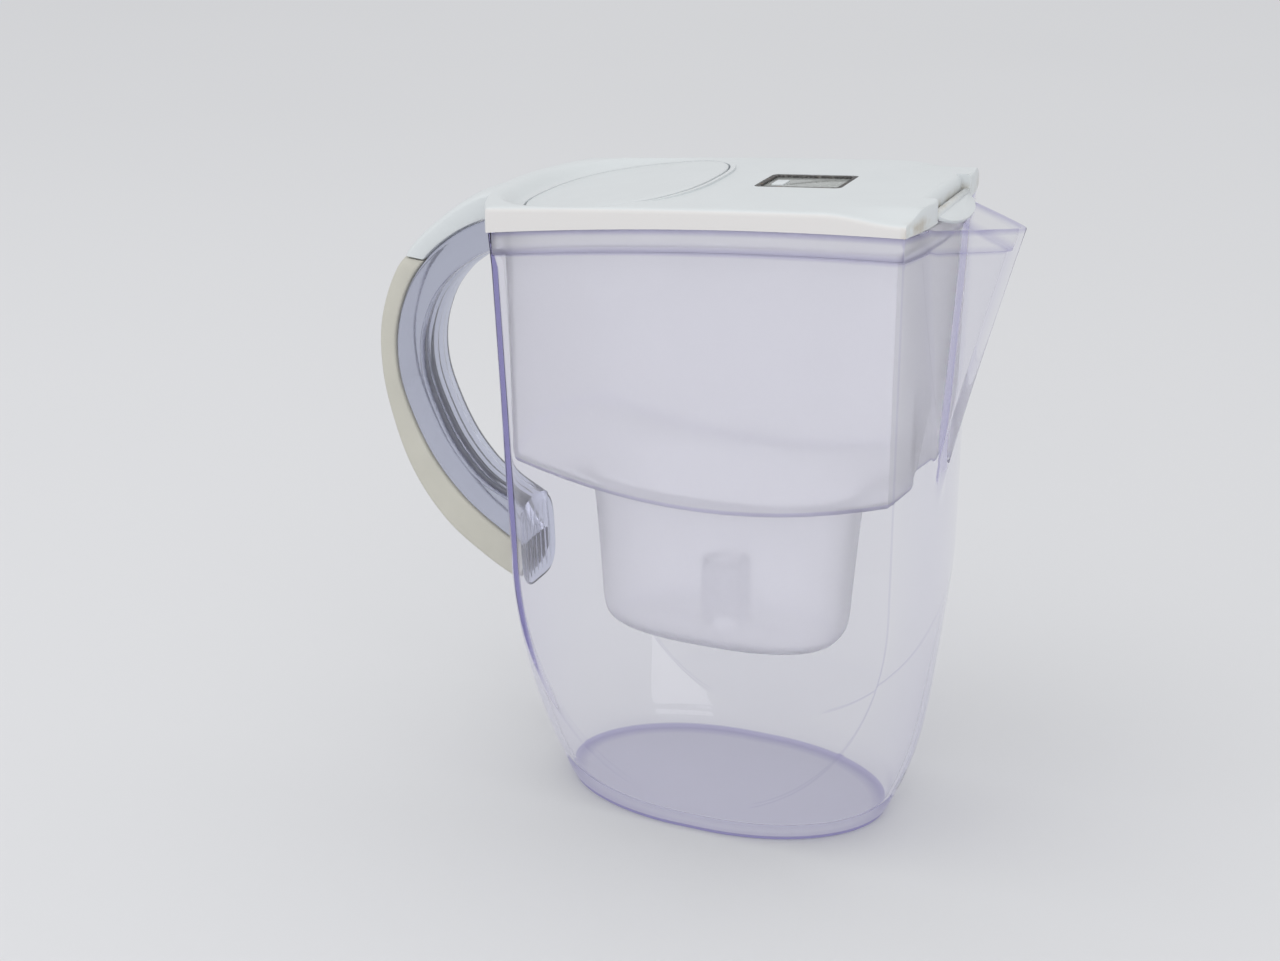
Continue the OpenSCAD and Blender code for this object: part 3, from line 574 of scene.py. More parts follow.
class Tray:
    """Outlines of the hopper's tray and its oval well."""

    rear_gap = 6
    turn = math.radians(65)
    scoop_w = 50
    scoop_in = 6
    arch_r = 255
    low_x = -4
    foot = 8
    well_x = -2
    well_pow = 2.5
    corner_back = 7
    corner_share = 0.4
    front_corner_back = 3
    scoop_drop = 55.6
    scoop_foot = 12
    top_drop = 12

    def __init__(self, s, b):
        self.s, self.b = s, b
        self.corner = b.rear_corner - self.corner_back
        self.scoop_top = s.jug_rim_h - self.scoop_drop
        self.top_z = s.jug_rim_h - self.top_drop

    @cached_property
    def angles(self):
        """Directions of the tray's points from the well's middle, which the well's points take too."""
        p = self.outline(self.s.jug_spout_start, 0)
        return np.arctan2(2 * p[:, 1] / self.s.jug_width, (p[:, 0] - self.well_x) / self.s.jug_front_reach)

    def outline(self, z, d):
        s, b = self.s, self.b
        g = s.jug_wall + s.hopper_gap + d
        rear = b.sizes(z)[0] - self.rear_gap - d
        front = s.jug_front_reach - g
        corner = self.corner - self.corner_share * d
        front_corner = b.front_corner - self.front_corner_back - self.corner_share * d
        p = b.outline((rear, corner, b.half_at(z) - g, self.turn, front, front_corner, front,
                       self.scoop_w / 2))
        fall = self.scoop_top - s.hopper_floor_z - self.scoop_foot
        depth = self.scoop_in * smooth((self.scoop_top - z) / fall)
        back = depth * (1 - unit(np.abs(p[:, 1]) / (self.scoop_w / 2))) ** 0.7
        p[:, 0] -= np.where(p[:, 0] > 0, back, 0)
        return p

    def ring(self, z, d):
        return level(self.outline(z, d), z)

    def floor_ring(self, d, up):
        p = self.outline(self.s.hopper_floor_z + self.foot, d)
        floor = self.s.hopper_floor_z + (p[:, 0] - self.low_x) ** 2 / (2 * self.arch_r)
        return np.column_stack([p, floor + up])

    def oval(self, a, half, z):
        e, t = 2 / self.well_pow, self.angles
        return level(np.column_stack([self.well_x + a * signed_pow(np.cos(t), e),
                                      half * signed_pow(np.sin(t), e)]), z)


def make_hopper(s):
    b = Body(s)
    tray = Tray(s, b)
    t = s.hopper_wall
    low, mouth = s.hopper_well_z, s.hopper_floor_z + 2.5
    a, h = s.hopper_well_l / 2, s.hopper_well_w / 2
    waist, neck = lerp(low, mouth, 0.33), lerp(low, mouth, 0.72)
    flange = s.jug_rim_wall + SEAM
    under = s.jug_band - SEAM

    def lip(d, drop):
        return b.under_edge(b.outline(b.sizes(b.top_z, d, False)), drop)

    def tray_top(d, drop):
        return b.under_edge(tray.outline(tray.top_z, d), drop)

    def well(inset, z):
        """The well's oval, brought in by one amount along it and another across it."""
        return tray.oval(a - inset[0], h - inset[1], z)

    outside = [well((18, 16), low), well((10.5, 9), low), well((5.5, 4), low + 2), well((3, 1.5), low + 7),
               well((2, 1), waist), well((0, 0), neck), well((-1.5, -2), mouth - 5), well((-4, -6), mouth),
               tray.floor_ring(3, 0), tray.floor_ring(0.9, 0.9), tray.floor_ring(0, 3)]
    levels = [lerp(s.hopper_floor_z, tray.top_z, k) for k in (0.2, 0.32, 0.46, 0.55, 0.64, 0.71, 0.78)]
    outside += [tray.ring(z, 0) for z in levels]
    outside = rounded(outside + [tray_top(0, under)])
    flange_rings = [tray_top(0, under), lip(flange + 0.3, under), lip(flange, under - 0.3),
                    lip(flange, SEAM + 0.5), lip(flange + 0.15, SEAM + 0.12), lip(flange + 0.5, SEAM),
                    lip(flange + t - 0.4, SEAM), lip(flange + t, SEAM + 0.4),
                    lip(flange + t, under - t - 0.3), lip(flange + t + 0.3, under - t),
                    tray_top(t, under - t)]
    inside = [tray_top(t, under - t)] + [tray.ring(z, t) for z in levels[::-1]]
    inside += [tray.floor_ring(t, 5), tray.floor_ring(t + 0.9, 3), tray.floor_ring(t + 3, 2.2),
               well((-3, -5), mouth + t), well((t - 1.5, t - 2), mouth - 4), well((t, t), neck),
               well((2 + t, 1 + t), waist), well((3 + t, 1.5 + t), low + 8),
               well((6 + t, 4.5 + t), low + 3.4), well((11 + t, 9.5 + t), low + t),
               well((18 + t, 16 + t), low + t)]
    rings = outside[:-1] + flange_rings[:-1] + rounded(inside)
    # Painted shade: dark lines along the tray's floor edge, the well's foot, the flange lip and the tray's
    # top edge
    shade_marks = [(tray.floor_ring(0.9, 0.9), 1.6, 0.6), (well((9, 7.5), low + 0.5), 1.6, 0.5),
             (lip(flange, under), 1.0, 0.5), (tray_top(0, under), 1.0, 0.4)]
    hopper = make("frosted_hopper", *skin(rings), sharp=50, line=ring_shade_lines(rings, shade_marks))

    def turned(name, x, diameter, z0, z1, lip=0.0):
        r = diameter / 2
        spans = [(z0, r), (z1 - lip, r)]
        if lip:
            spans += [(z1 - 0.3 * lip, r - 0.3 * lip), (z1, r - lip)]
        return make(name, *skin([circle(x, 0, radius, z, 64) for z, radius in spans]))

    join(hopper, turned("post", tray.well_x, s.hopper_post_d, low + t / 2, s.hopper_post_z, 0.6), 50)
    cut(hopper, turned("bore", tray.well_x, s.hopper_bore_d, low - 1, s.hopper_post_z + 1), 50)
    drain_gap, drain_pitch = 5, 6
    for side in (-1, 1):
        for k in range(3):
            x = tray.well_x + side * (s.hopper_post_d / 2 + drain_gap + drain_pitch * k)
            cut(hopper, turned("drain", x, s.hopper_drain_d, low - 1, low + t + 1), 50)
    finish_piece(hopper, frosted_plastic(s), "hopper_body", "hopper")


# Handle

class Handle:
    """The line between the handle's strip and its core, and sections across it."""

    shape = [[-0.196, 0.9919], [0, 0.9878], [0.196, 0.9699], [0.443, 0.923], [0.6863, 0.8514],
             [0.8824, 0.7543], [1, 0.6234], [0.9961, 0.4891], [0.8784, 0.361], [0.6824, 0.2342],
             [0.4, 0.124], [0.0784, 0.0441], [-0.1765, -0.0041], [-0.451, -0.0455]]
    pad_z = 99
    tail_start = 0.85
    tail_end = 4.1
    core_start = 1.1
    strip_end = 12
    joint_gap = 0.07
    joint_lean = 0.04
    pad_proud = 2.2
    wall_gap = 0.2

    def __init__(self, s, b):
        top = b.rim_z(-s.jug_rear_reach)
        self.line = np.array([[-s.jug_rear_reach - out * s.handle_reach, lerp(self.pad_z, top, up)]
                              for out, up in self.shape])

    def on_line(self, u):
        h = self.line
        k = min(len(h) - 3, max(1, math.floor(u)))
        p, q, r, e = h[k - 1], h[k], h[k + 1], h[k + 2]
        t = u - k
        return 0.5 * (2 * q + (r - p) * t + (2 * p - 5 * q + 4 * r - e) * t * t
                      + (3 * q - p - 3 * r + e) * t ** 3)

    def at(self, u, out, y, lean=0.0):
        u = u + lean * out
        d = self.on_line(u + 0.01) - self.on_line(u - 0.01)
        p = self.on_line(u) + out * np.array([d[1], -d[0]]) / np.hypot(*d)
        return [p[0], y, p[1]]

    def band(self, u, near, far, crown, width, corner, lean=0.0, across=32, relief=None):
        """A section between two distances out of the line, with a crowned far face."""
        h = width / 2
        chamfer = math.copysign(corner / 2, far - near)
        ring = [self.at(u, near, y, lean) for y in np.linspace(-h + corner / 2, h - corner / 2, 9)]
        ring += [self.at(u, near + 0.3 * chamfer, h - 0.15 * corner, lean),
                 self.at(u, near + chamfer, h, lean)]
        for a in np.linspace(0, math.pi, across + 1):
            y = 0.98 * h * math.cos(a)
            out = far + crown * math.sin(a) ** 0.8 + (relief(y / h) if relief else 0)
            ring.append(self.at(u, out, y, lean))
        ring += [self.at(u, near + chamfer, -h, lean),
                 self.at(u, near + 0.3 * chamfer, -h + 0.15 * corner, lean)]
        return np.array(ring)


def body_block(b, gap):
    """The jug's outside without its spout, moved out by a gap."""
    heights = [1.5, 3, 6, 9] + list(np.arange(12, 262, 4.0))
    return make("block", *skin([b.ring(z, -gap, False) for z in heights]))


def pad_outline(s, d):
    """The outline of the handle's pad on the rear wall, brought in by d."""
    a = turns(72)
    return ((s.handle_pad_w / 2 - d) * signed_pow(np.cos(a), 0.6),
            Handle.pad_z + (s.handle_pad_h / 2 - d) * signed_pow(np.sin(a), 0.6))


def make_handle(s):
    b = Body(s)
    line = Handle(s, b)
    t, w = s.handle_core_t, s.handle_width

    def grooves(v):
        """Four grooves along the face that the fingers hold."""
        part = 0.78
        if abs(v) > part:
            return 0
        return s.handle_groove * (0.5 - 0.5 * math.cos(2 * math.pi * (v / part + 1) * 2))

    rings = []
    for u in np.linspace(line.core_start, line.strip_end, 90):
        grow = smooth((u - 9.6) / 1.6)
        fade = float(smooth((u - 1.2) / 0.8) * (1 - smooth((u - 10.4) / 0.8)))
        rings.append(line.band(u, 0, -t - 3 * grow, -2.5, w - 1, 3, across=56,
                               relief=lambda v: fade * grooves(v)))
    core = make("handle_core_clear", *skin(rings), sharp=50)

    pad = []
    for d, out in ((0, -1.5), (0, 1.2), (0.35, 1.9), (1, line.pad_proud)):
        y, z = pad_outline(s, d)
        x = np.array([b.rear_x(yy, zz) for yy, zz in zip(y, z)])
        pad.append(np.column_stack([x - out, y, z]))
    join(core, make("pad", *skin(pad)), 50)
    cut(core, body_block(b, 0.25), 50)
    reach, pitch, groove_r, deep = s.handle_pad_h / 2 - 4, 4.0, 0.7, 0.3
    for y in pitch * np.arange(-3, 4):
        groove = []
        for z in line.pad_z + reach * np.linspace(-1, 1, 16):
            r = groove_r * math.sqrt(max(0.1, 1 - ((z - line.pad_z) / (reach + 0.6)) ** 8))
            groove.append(circle(b.rear_x(y, z) - deep, y, r, z, 12))
        cut(core, make("groove", *skin(groove)), 50)
    finish_piece(core, core_plastic(s), "jug_body", "handle_core")

    rings = []
    for i, t in enumerate(np.arange(80) / 79):
        u = lerp(line.tail_end + line.joint_gap, line.strip_end, t)
        thick = s.handle_strip_t + (s.handle_strip_foot_t - s.handle_strip_t) * smooth((u - 6.5) / 4)
        ends = (0.93, 0.97, 0.99)[i] if i < 3 else 1
        lean = line.joint_lean * max(0, 1 - t * 22 / 6)
        rings.append(line.band(u, SEAM, SEAM + thick * ends, s.handle_strip_crown * ends, w * ends, 2, lean))
    strip = make("handle_strip_ivory", *skin(rings), sharp=50)
    cut(strip, body_block(b, line.wall_gap + line.pad_proud + SEAM), 50)
    finish_piece(strip, ivory_plastic(s), "jug_body", "handle_strip")


# Lid

class Lid:
    """The arched top of the lid with its dish, and the plane of the fill flap."""

    arch_r = 3850
    crest_x = 281
    corner_fall = 3.5
    fall_x = 52
    flap_x = -46.5
    flap_pow = 2.5
    collar_t = 2
    collar_h = 7.6
    pivot_z = -3.8
    edge_r = 2.2
    front_r = 1.6
    fall_l = 30
    fall_start = 0.72
    flap_drop = 2.3
    turn = 45
    rear_over = 1
    front_over = 0.5
    dish_start = 1.045

    def __init__(self, s, b):
        self.s, self.b = s, b
        self.flap_z = s.jug_rim_h - self.flap_drop
        self.tilt = s.lid_flap_tilt
        self.flap_a = s.lid_flap_l / 2 / math.cos(self.tilt)
        self.flap_b = s.lid_flap_w / 2
        self.pivot_x = -s.lid_flap_back / math.cos(self.tilt)
        self.place = tilted(self.flap_x, self.flap_z, self.tilt)
        front = s.jug_front_reach + self.front_over
        self.o = (s.jug_rear_reach + self.rear_over, b.rear_corner + s.lid_proud,
                  s.jug_width / 2 + s.lid_proud, math.radians(self.turn), front,
                  b.front_corner + s.lid_proud, front, s.jug_spout_w / 2)

    def base_z(self, x, y):
        s = self.s
        across = 2 * np.abs(y) / s.jug_width
        corner = smooth((x - self.fall_x) / self.fall_l)
        corner = corner * smooth((across - self.fall_start) / (1 - self.fall_start))
        return (s.jug_rim_h + s.lid_rise + s.lid_crown * (1 - across ** 2)
                - ((self.crest_x - x) ** 2 - (self.crest_x - s.jug_front_reach) ** 2) / (2 * self.arch_r)
                - self.corner_fall * corner)

    def off_flap(self, x, y):
        return ((np.abs(x - self.flap_x) / (self.s.lid_flap_l / 2)) ** self.flap_pow
                + (np.abs(y) / self.flap_b) ** self.flap_pow) ** (1 / self.flap_pow)

    def top_z(self, x, y):
        base = self.base_z(x, y)
        plane = self.flap_z + (x - self.flap_x) * math.tan(self.tilt)
        ramp = 0.08 + 0.22 * unit(np.abs(x - self.flap_x) / 50) ** 2
        return lerp(np.minimum(base, plane), base, smooth((self.off_flap(x, y) - self.dish_start) / ramp))

    def flap_ring(self, grow, z):
        t = turns(180)
        p = np.column_stack([(self.flap_a + grow) * signed_pow(np.cos(t), 2 / self.flap_pow),
                             (self.flap_b + grow) * signed_pow(np.sin(t), 2 / self.flap_pow)])
        return self.place(level(p, z))

    def flap_reach(self, x):
        gap = self.s.lid_flap_gap
        rest = 1 - unit(abs(x) / (self.flap_a + gap)) ** self.flap_pow
        return (self.flap_b + gap) * rest ** (1 / self.flap_pow)

    def stations(self):
        """Places along the lid, and its half width at each of them."""
        p = self.b.outline(self.o, half_only=True)
        n_rear, n_side, n_front, _ = self.b.steps
        rear = p[1:n_rear]
        side = np.column_stack([lerp(-self.o[1], self.o[5], np.arange(120) / 120),
                                np.full(120, self.o[2])])
        front = p[n_rear + n_side:n_rear + n_side + n_front + 1]
        return np.concatenate([rear, side, front])


def across_lid(half, edge_r):
    """Places across the lid, close together where its edge is round, and the radius there."""
    r = min(edge_r, half * 0.5)
    edge = half - r * (1 - np.sin(np.linspace(0, math.pi / 2, 9)[::-1]))
    inner = np.linspace(-1, 1, 64)[1:-1] * (half - r)
    y = np.concatenate([-edge, inner, edge[::-1]])
    return y, r


def lid_block(s, b, lid, drop_wall=0.0, hollow=False):
    """The lid's outside as a solid, or the hollow under it, which leaves its front and rear solid."""
    front_solid, rear_solid, below = 10.5, 1.5, 6
    rings = []
    stations = lid.stations()
    if hollow:
        end_x, start_x = s.jug_front_reach - front_solid, -s.jug_rear_reach + rear_solid
        stations = stations[(stations[:, 0] > start_x) & (stations[:, 0] < end_x - 1)]
        stations = np.concatenate([stations, [[end_x, lid.o[2]]]])
    front_x = stations[-1][0]
    for x, half in stations:
        half = half - drop_wall
        y, r = across_lid(half, lid.edge_r)
        outer = np.maximum(0, np.abs(y) - (half - r))
        fall = r - np.sqrt(np.maximum(0, r * r - outer ** 2))
        if not hollow:
            ahead = max(0, x - (front_x - lid.front_r))
            fall = fall + lid.front_r - math.sqrt(max(0, lid.front_r ** 2 - ahead ** 2))
        z = lid.top_z(np.full(len(y), x), y) - drop_wall - fall
        bottom = b.rim_z(x) + (-below if hollow else SEAM)
        ring = np.column_stack([np.full(len(y), x), y, z])
        rings.append(np.concatenate([[[x, -half, bottom]], ring, [[x, half, bottom]]]))
    return make("lid_hollow" if hollow else "lid_block", *skin(rings))


def lid_tail(s, b):
    """The tail over the handle's top. It starts wider than the handle, and ends as wide as the strip."""
    line = Handle(s, b)
    root_less, root_crown, root_wider, rim_end = 1.5, 2.6, 3, 1.2
    rings = []
    for t in np.linspace(0, 1, 50):
        last = 0.96 if t == 1 else 0.985 if t > 0.97 else 1
        far = lerp(s.lid_tail_t - root_less, s.handle_strip_t + SEAM, smooth(t * 1.2)) * last
        ring = line.band(lerp(line.tail_start, line.tail_end, t), 2 * SEAM, far,
                         lerp(root_crown, s.handle_strip_crown, t) * last,
                         lerp(s.handle_width + root_wider, s.handle_width, t), 2, line.joint_lean * t)
        over = ring[:, 0] > -s.jug_rear_reach - rim_end
        ring[:, 2] = np.where(over, np.maximum(ring[:, 2], b.rim_z(ring[:, 0]) + SEAM), ring[:, 2])
        rings.append(ring)
    return make("lid_tail", *skin(rings))


class Front:
    """The notch at the front of the lid and the pour flap's pivot in it."""

    def __init__(self, s):
        self.s = s
        self.pivot_x = s.jug_front_reach - 2.4
        self.pivot_z = s.jug_rim_h + 2

    def cutter(self):
        s, side_gap, depth, clear = self.s, 0.7, 4.3, 12
        x, top = s.jug_front_reach - depth, s.jug_rim_h + s.lid_rise
        foot = s.jug_rim_h - clear
        profile = [[x, foot], [x, top - 3.2], [x - 0.25, top - 1.9], [x - 0.8, top - 0.8],
                   [x - 1.8, top + 0.1], [x - 3, top + 0.6], [x - 3, top + clear],
                   [x + clear, top + clear], [x + clear, foot]]
        n, h = len(profile), s.lid_pour_w / 2 + side_gap
        verts = [[px, y, pz] for y in (-h, h) for px, pz in profile]
        sides = [(k, (k + 1) % n, n + (k + 1) % n, n + k) for k in range(n)]
        return make("notch", verts, sides + [tuple(range(n)), tuple(range(2 * n - 1, n - 1, -1))])


class Indicator:
    """Levels and places inside the filter indicator, measured from its tilted top face."""

    sunk = 0.2
    bezel_t = 2
    corner_r = 2.4
    lip_t = 0.8
    window_t = 1
    window_top = -0.85
    stem_z = -4.03
    pocket_t = 1.8

    def __init__(self, s, lid):
        self.s = s
        tilt = math.asin((lid.crest_x - s.indicator_centre) / lid.arch_r)
        z = float(lid.base_z(s.indicator_centre, 0)) - self.sunk
        self.place = tilted(s.indicator_centre, z, tilt)
        self.inner_l = s.indicator_length - 2 * s.indicator_rim
        self.inner_w = s.indicator_width - 2 * s.indicator_rim
        self.button_x = -s.indicator_length / 2 + s.indicator_rim + 1.8 + s.indicator_button_l / 2

    def round_cornered(self, name, l, w, z0, z1, r):
        """A block with upright edges rounded to a radius."""
        a = np.linspace(0, math.pi / 2, 9)
        corner = np.column_stack([np.cos(a), np.sin(a)]) * r
        turned = [corner, corner[:, ::-1] * [-1, 1], -corner, corner[:, ::-1] * [1, -1]]
        middles = [(l / 2 - r, w / 2 - r), (r - l / 2, w / 2 - r), (r - l / 2, r - w / 2),
                   (l / 2 - r, r - w / 2)]
        p = np.concatenate([c + m for c, m in zip(turned, middles)])
        return make(name, *skin([self.place(level(p, z)) for z in (z0, z1)]))

    def centred(self, name, l, w, z0, z1, x=0.0):
        return slab(name, x - l / 2, x + l / 2, -w / 2, w / 2, z0, z1, self.place)


def make_lid(s):
    b = Body(s)
    lid = Lid(s, b)
    front = Front(s)
    shell = lid_block(s, b, lid)
    join(shell, lid_tail(s, b))
    cut(shell, lid_block(s, b, lid, s.lid_wall, hollow=True))

    gap = s.lid_flap_gap
    grow = gap + lid.collar_t
    collar = make("collar", *skin([lid.flap_ring(grow, -lid.collar_h), lid.flap_ring(grow, -0.4)]))
    side = s.jug_width / 2 - s.jug_rim_wall - SEAM - s.hopper_wall - 2 * SEAM
    combine(collar, slab("side", -150, 50, -side, side, 200, 300), "INTERSECT")
    join(shell, collar)

    box = Indicator(s, lid)
    l, w, depth = s.indicator_length + 2 * SLIP, s.indicator_width + 2 * SLIP, s.indicator_depth
    wall = 2 * box.pocket_t
    join(shell, box.centred("pocket_wall", l + wall, w + wall, -depth - 0.4, -1))

    opening = [(gap, -lid.collar_h - 1), (gap, -0.5), (gap + 0.05, -0.2), (gap + 0.15, -0.03),
               (gap + 0.2, 4)]
    cut(shell, make("opening", *skin([lid.flap_ring(g, z) for g, z in opening])))
    reach = lid.flap_reach(lid.pivot_x) + lid.collar_t + 2
    pin_r = s.lid_flap_pin / 2 + PIN_GAP
    cut(shell, rod("pin_bore", lid.pivot_x, lid.pivot_z, pin_r, -reach, reach, lid.place))
    cut(shell, box.round_cornered("pocket_mouth", l, w, -box.bezel_t - 0.05, 6, box.corner_r))
    cut(shell, box.centred("pocket", l, w, -depth - 1, -box.bezel_t - 0.04))
    cut(shell, front.cutter())
    reach = s.lid_pour_w / 2 + 2.8
    cut(shell, rod("pour_bore", front.pivot_x, front.pivot_z, s.lid_pour_pin / 2 + PIN_GAP, -reach, reach))
    shell.name = "white_lid_shell"
    finish_piece(shell, lid_plastic(s), "lid_body", "lid_shell")


def make_flaps(s):
    b = Body(s)
    lid = Lid(s, b)
    front = Front(s)
    t = s.lid_flap_t
    plate = [(-14, -t), (-0.5, -t), (-0.15, -t + 0.15), (0, -t + 0.5), (0, -0.35), (-0.06, -0.15),
             (-0.2, -0.03), (-0.4, 0), (-8, 0), (-18, 0)]
    flap = make("fill_flap_oval", *skin([lid.flap_ring(g, z) for g, z in plate]), sharp=40)
    ear_r, ear_l, sweep, bite = 2.7, 5, 4.6, 1.5
    px, pz = lid.pivot_x, lid.pivot_z
    ear_y = lid.flap_reach(px - sweep) - SEAM - ear_l
    for side in (-1, 1):
        y0, y1 = sorted((side * ear_y, side * (ear_y + ear_l)))
        join(flap, rod("ear", px, pz, ear_r, y0, y1, lid.place, 0.4), 40)
        join(flap, slab("neck", px - ear_r, px + ear_r, y0, y1, pz, -t / 2, lid.place), 40)
        y0, y1 = sorted((side * (ear_y + 1), side * (lid.flap_reach(px) + bite)))
        join(flap, rod("pin", px, pz, s.lid_flap_pin / 2, y0, y1, lid.place, 0.3), 40)
    finish_piece(flap, lid_plastic(s), "fill_flap_body", "fill_flap")

    reach, drop, t = s.lid_pour_reach, 4.4, s.lid_pour_t
    fall = tilted(front.pivot_x, front.pivot_z, -math.atan(drop / reach))
    stretch = math.hypot(reach, drop) / reach

    def tongue(inset, z):
        a = np.linspace(-math.pi / 2, math.pi / 2, 61)
        p = np.column_stack([stretch * (reach - inset) * np.maximum(0, np.cos(a)) ** 0.9,
                             (s.lid_pour_w / 2 - 1 - inset) * np.sin(a), np.full(61, z)])
        return fall(p)

    profile = [(0.4, -t / 2), (0.1, -t / 2 + 0.15), (0, -t / 2 + 0.4), (0, t / 2 - 0.5),
               (0.12, t / 2 - 0.15), (0.5, t / 2)]
    pour = make("pour_flap_tongue", *skin([tongue(d, z) for d, z in profile]), sharp=45)
    half, barrel_r = s.lid_pour_w / 2, 1.6
    for name, radius, end, edge in (("barrel", barrel_r, half, 0.3),
                                    ("pin", s.lid_pour_pin / 2, half + 2, 0.2)):
        join(pour, rod(name, front.pivot_x, front.pivot_z, radius, -end, end, end_round=edge), 45)
    finish_piece(pour, lid_plastic(s), "pour_flap_body", "pour_flap")


# Filter indicator

def make_indicator(s):
    b = Body(s)
    box = Indicator(s, Lid(s, b))
    under = -box.bezel_t - 1
    l, w, x = s.indicator_button_l, s.indicator_button_w, box.button_x

    bezel = box.round_cornered("indicator_frame", s.indicator_length, s.indicator_width, -box.bezel_t, 0,
                               box.corner_r)
    cut(bezel, box.round_cornered("hole", box.inner_l + 1.2, box.inner_w + 1.2, under, 1, 1.4))
    cut(bezel, box.centred("seat", box.inner_l + 2, box.inner_w + 2, under, -box.lip_t))
    bevel(bezel, 0.35, 3)
    wear(bezel, 0.3)
    finish_piece(bezel, worn_frame(s), "lid_body", "indicator_bezel")

    window_z = box.window_top - box.window_t
    window = box.centred("indicator_pane", box.inner_l + 2 - 2 * SLIP, box.inner_w + 2 - 2 * SLIP,
                         window_z, box.window_top)
    cut(window, box.centred("button_way", l + 2 * SLIP, w + 2 * SLIP, under, 1, x))
    bevel(window, 0.12, 2)
    finish_piece(window, pane_plastic(), "lid_body", "indicator_window")

    flange_top = window_z - 0.05
    button = box.centred("reset_button_cap", l, w, flange_top - 0.4, -box.lip_t / 2, x)
    bevel(button, 0.5, 4)
    join(button, box.centred("flange", l + 1.2, w + 1.6, flange_top - 0.5, flange_top, x))
    stem = [box.place(circle(x, 0, l / 2 - 1, z, 32)) for z in (box.stem_z, flange_top - 0.2)]
    join(button, make("stem", *skin(stem)))
    finish_piece(button, button_plastic(s), "reset_button_body", "reset_button")

    for name, finish in (("lcd", display_glass(s)), ("seal", seal_foam()), ("housing", housing_plastic()),
                         ("contact_strips", contact_rubber()), ("board", board_lacquer()),
                         ("dome", plated_metal(0.80)), ("cell", plated_metal(0.72)),
                         ("cell_clip", plated_metal(0.66))):
        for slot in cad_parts["indicator_" + name].material_slots:
            slot.material = finish


def wear(obj, deep):
    """Nibbles the edges of a piece, as years of use have done."""
    longest, chip_size = 0.8, 1.7
    bm = bmesh.new()
    bm.from_mesh(obj.data)
    bmesh.ops.triangulate(bm, faces=bm.faces)
    for _ in range(3):
        edges = [e for e in bm.edges if e.calc_length() > longest * MM]
        bmesh.ops.subdivide_edges(bm, edges=edges, cuts=1)
        bmesh.ops.triangulate(bm, faces=bm.faces)
    bm.normal_update()
    for v in bm.verts:
        chip = max(0, min(1, 0.3 + 1.4 * noise.fractal(v.co / (chip_size * MM), 1, 2, 3)))
        v.co -= v.normal * deep * MM * chip * min(1, 0.25 + 2 * v.calc_shell_factor() - 2)
    bm.to_mesh(obj.data)
    bm.free()
    tidy_mesh(obj.data)


# Materials

class Nodes:
    """The node tree of a material or a world, with short calls to add nodes."""

    def __init__(self, owner):
        owner.use_nodes = True
        self.owner, self.tree = owner, owner.node_tree
        self.tree.nodes.clear()

    @cached_property
    def place(self):
        """Where a point lies in its object."""
        return self.add("TexCoord").outputs["Object"]

    def feed(self, socket, value):
        """Links a socket to another node's output, or sets its value. A colour has three values."""
        if isinstance(value, bpy.types.NodeSocket):
            self.tree.links.new(value, socket)
        else:
            socket.default_value = (*value, 1) if socket.type == "RGBA" else value

    def add(self, kind, inputs=None, **settings):
        node = self.tree.nodes.new("ShaderNode" + kind)
        for key, value in settings.items():
            setattr(node, key, value)
        for key, value in (inputs or {}).items():
            self.feed(node.inputs[key], value)
        return node

    def noise(self, size, detail=4.0, rough=0.55, stretch=None):
        """Noise with features of about the given size in millimetres."""
        place = self.place
        if stretch:
            place = self.add("Mapping", {"Vector": place, "Scale": stretch}).outputs["Vector"]
        return self.add("TexNoise", {"Vector": place, "Scale": 1000.0 / size, "Detail": detail,
                                     "Roughness": rough}).outputs["Fac"]

    def ranged(self, value, low, high, to_low, to_high):
        return self.add("MapRange", {"Value": value, "From Min": low, "From Max": high,
                                     "To Min": to_low, "To Max": to_high}).outputs["Result"]

    def spread(self, noise, to_low, to_high):
        """Brings the middle of a noise's range to a span of values."""
        return self.ranged(noise, 0.3, 0.7, to_low, to_high)

    def blend(self, amount, a, b):
        return self.add("Mix", {0: amount, 6: a, 7: b}, data_type="RGBA").outputs[2]

    def clouded(self, cloud, colour, shade):
        """A colour that goes to a shade of itself where a cloud is thin."""
        return self.blend(cloud, [shade * c for c in colour], colour)

    def maths(self, how, a, b=0.0):
        return self.add("Math", {0: a, 1: b}, operation=how).outputs[0]

    def times(self, a, b):
        return self.maths("MULTIPLY", a, b)

    def bump(self, height, strength, distance):
        return self.add("Bump", {"Height": height, "Strength": strength,
                                 "Distance": distance * MM}).outputs["Normal"]

    def edge_lines(self, base, edge):
        # Painted shade: goes from the base colour to the edge colour where the line attribute marks a crease
        # or a rim
        line = self.add("Attribute", attribute_name="line").outputs["Fac"]
        return self.blend(self.ranged(line, 0.25, 0.95, 0, 1), base, edge)

    def front_only(self, value):
        """A value that holds where a face is seen from outside, and is zero from inside."""
        back = self.add("NewGeometry").outputs["Backfacing"]
        return self.ranged(back, 0, 1, value, 0)

    def mix_shader(self, amount, a, b):
        return self.add("MixShader", {0: amount, 1: a, 2: b}).outputs[0]

    def ray(self, kind):
        return self.add("LightPath").outputs["Is " + kind + " Ray"]

    def lets_lamps_through(self, surface, shade):
        """A surface whose shadow is pale, as that of clear plastic is, and not black."""
        clear = self.add("BsdfTransparent", {"Color": shade}).outputs[0]
        return self.mix_shader(self.ray("Shadow"), surface, clear)

    def finish(self, inputs, shade=None, inside=None):
        """The material. shade is its shadow's colour, and inside the colour and depth of what is in it."""
        surface = self.add("BsdfPrincipled", inputs).outputs[0]
        if shade:
            surface = self.lets_lamps_through(surface, shade)
        out = self.add("OutputMaterial", {"Surface": surface})
        if inside:
            absorbs = self.add("VolumeAbsorption", {"Color": inside[0], "Density": inside[1]})
            self.feed(out.inputs["Volume"], absorbs.outputs[0])
        return self.owner


def material(name):
    return Nodes(bpy.data.materials.new(name))


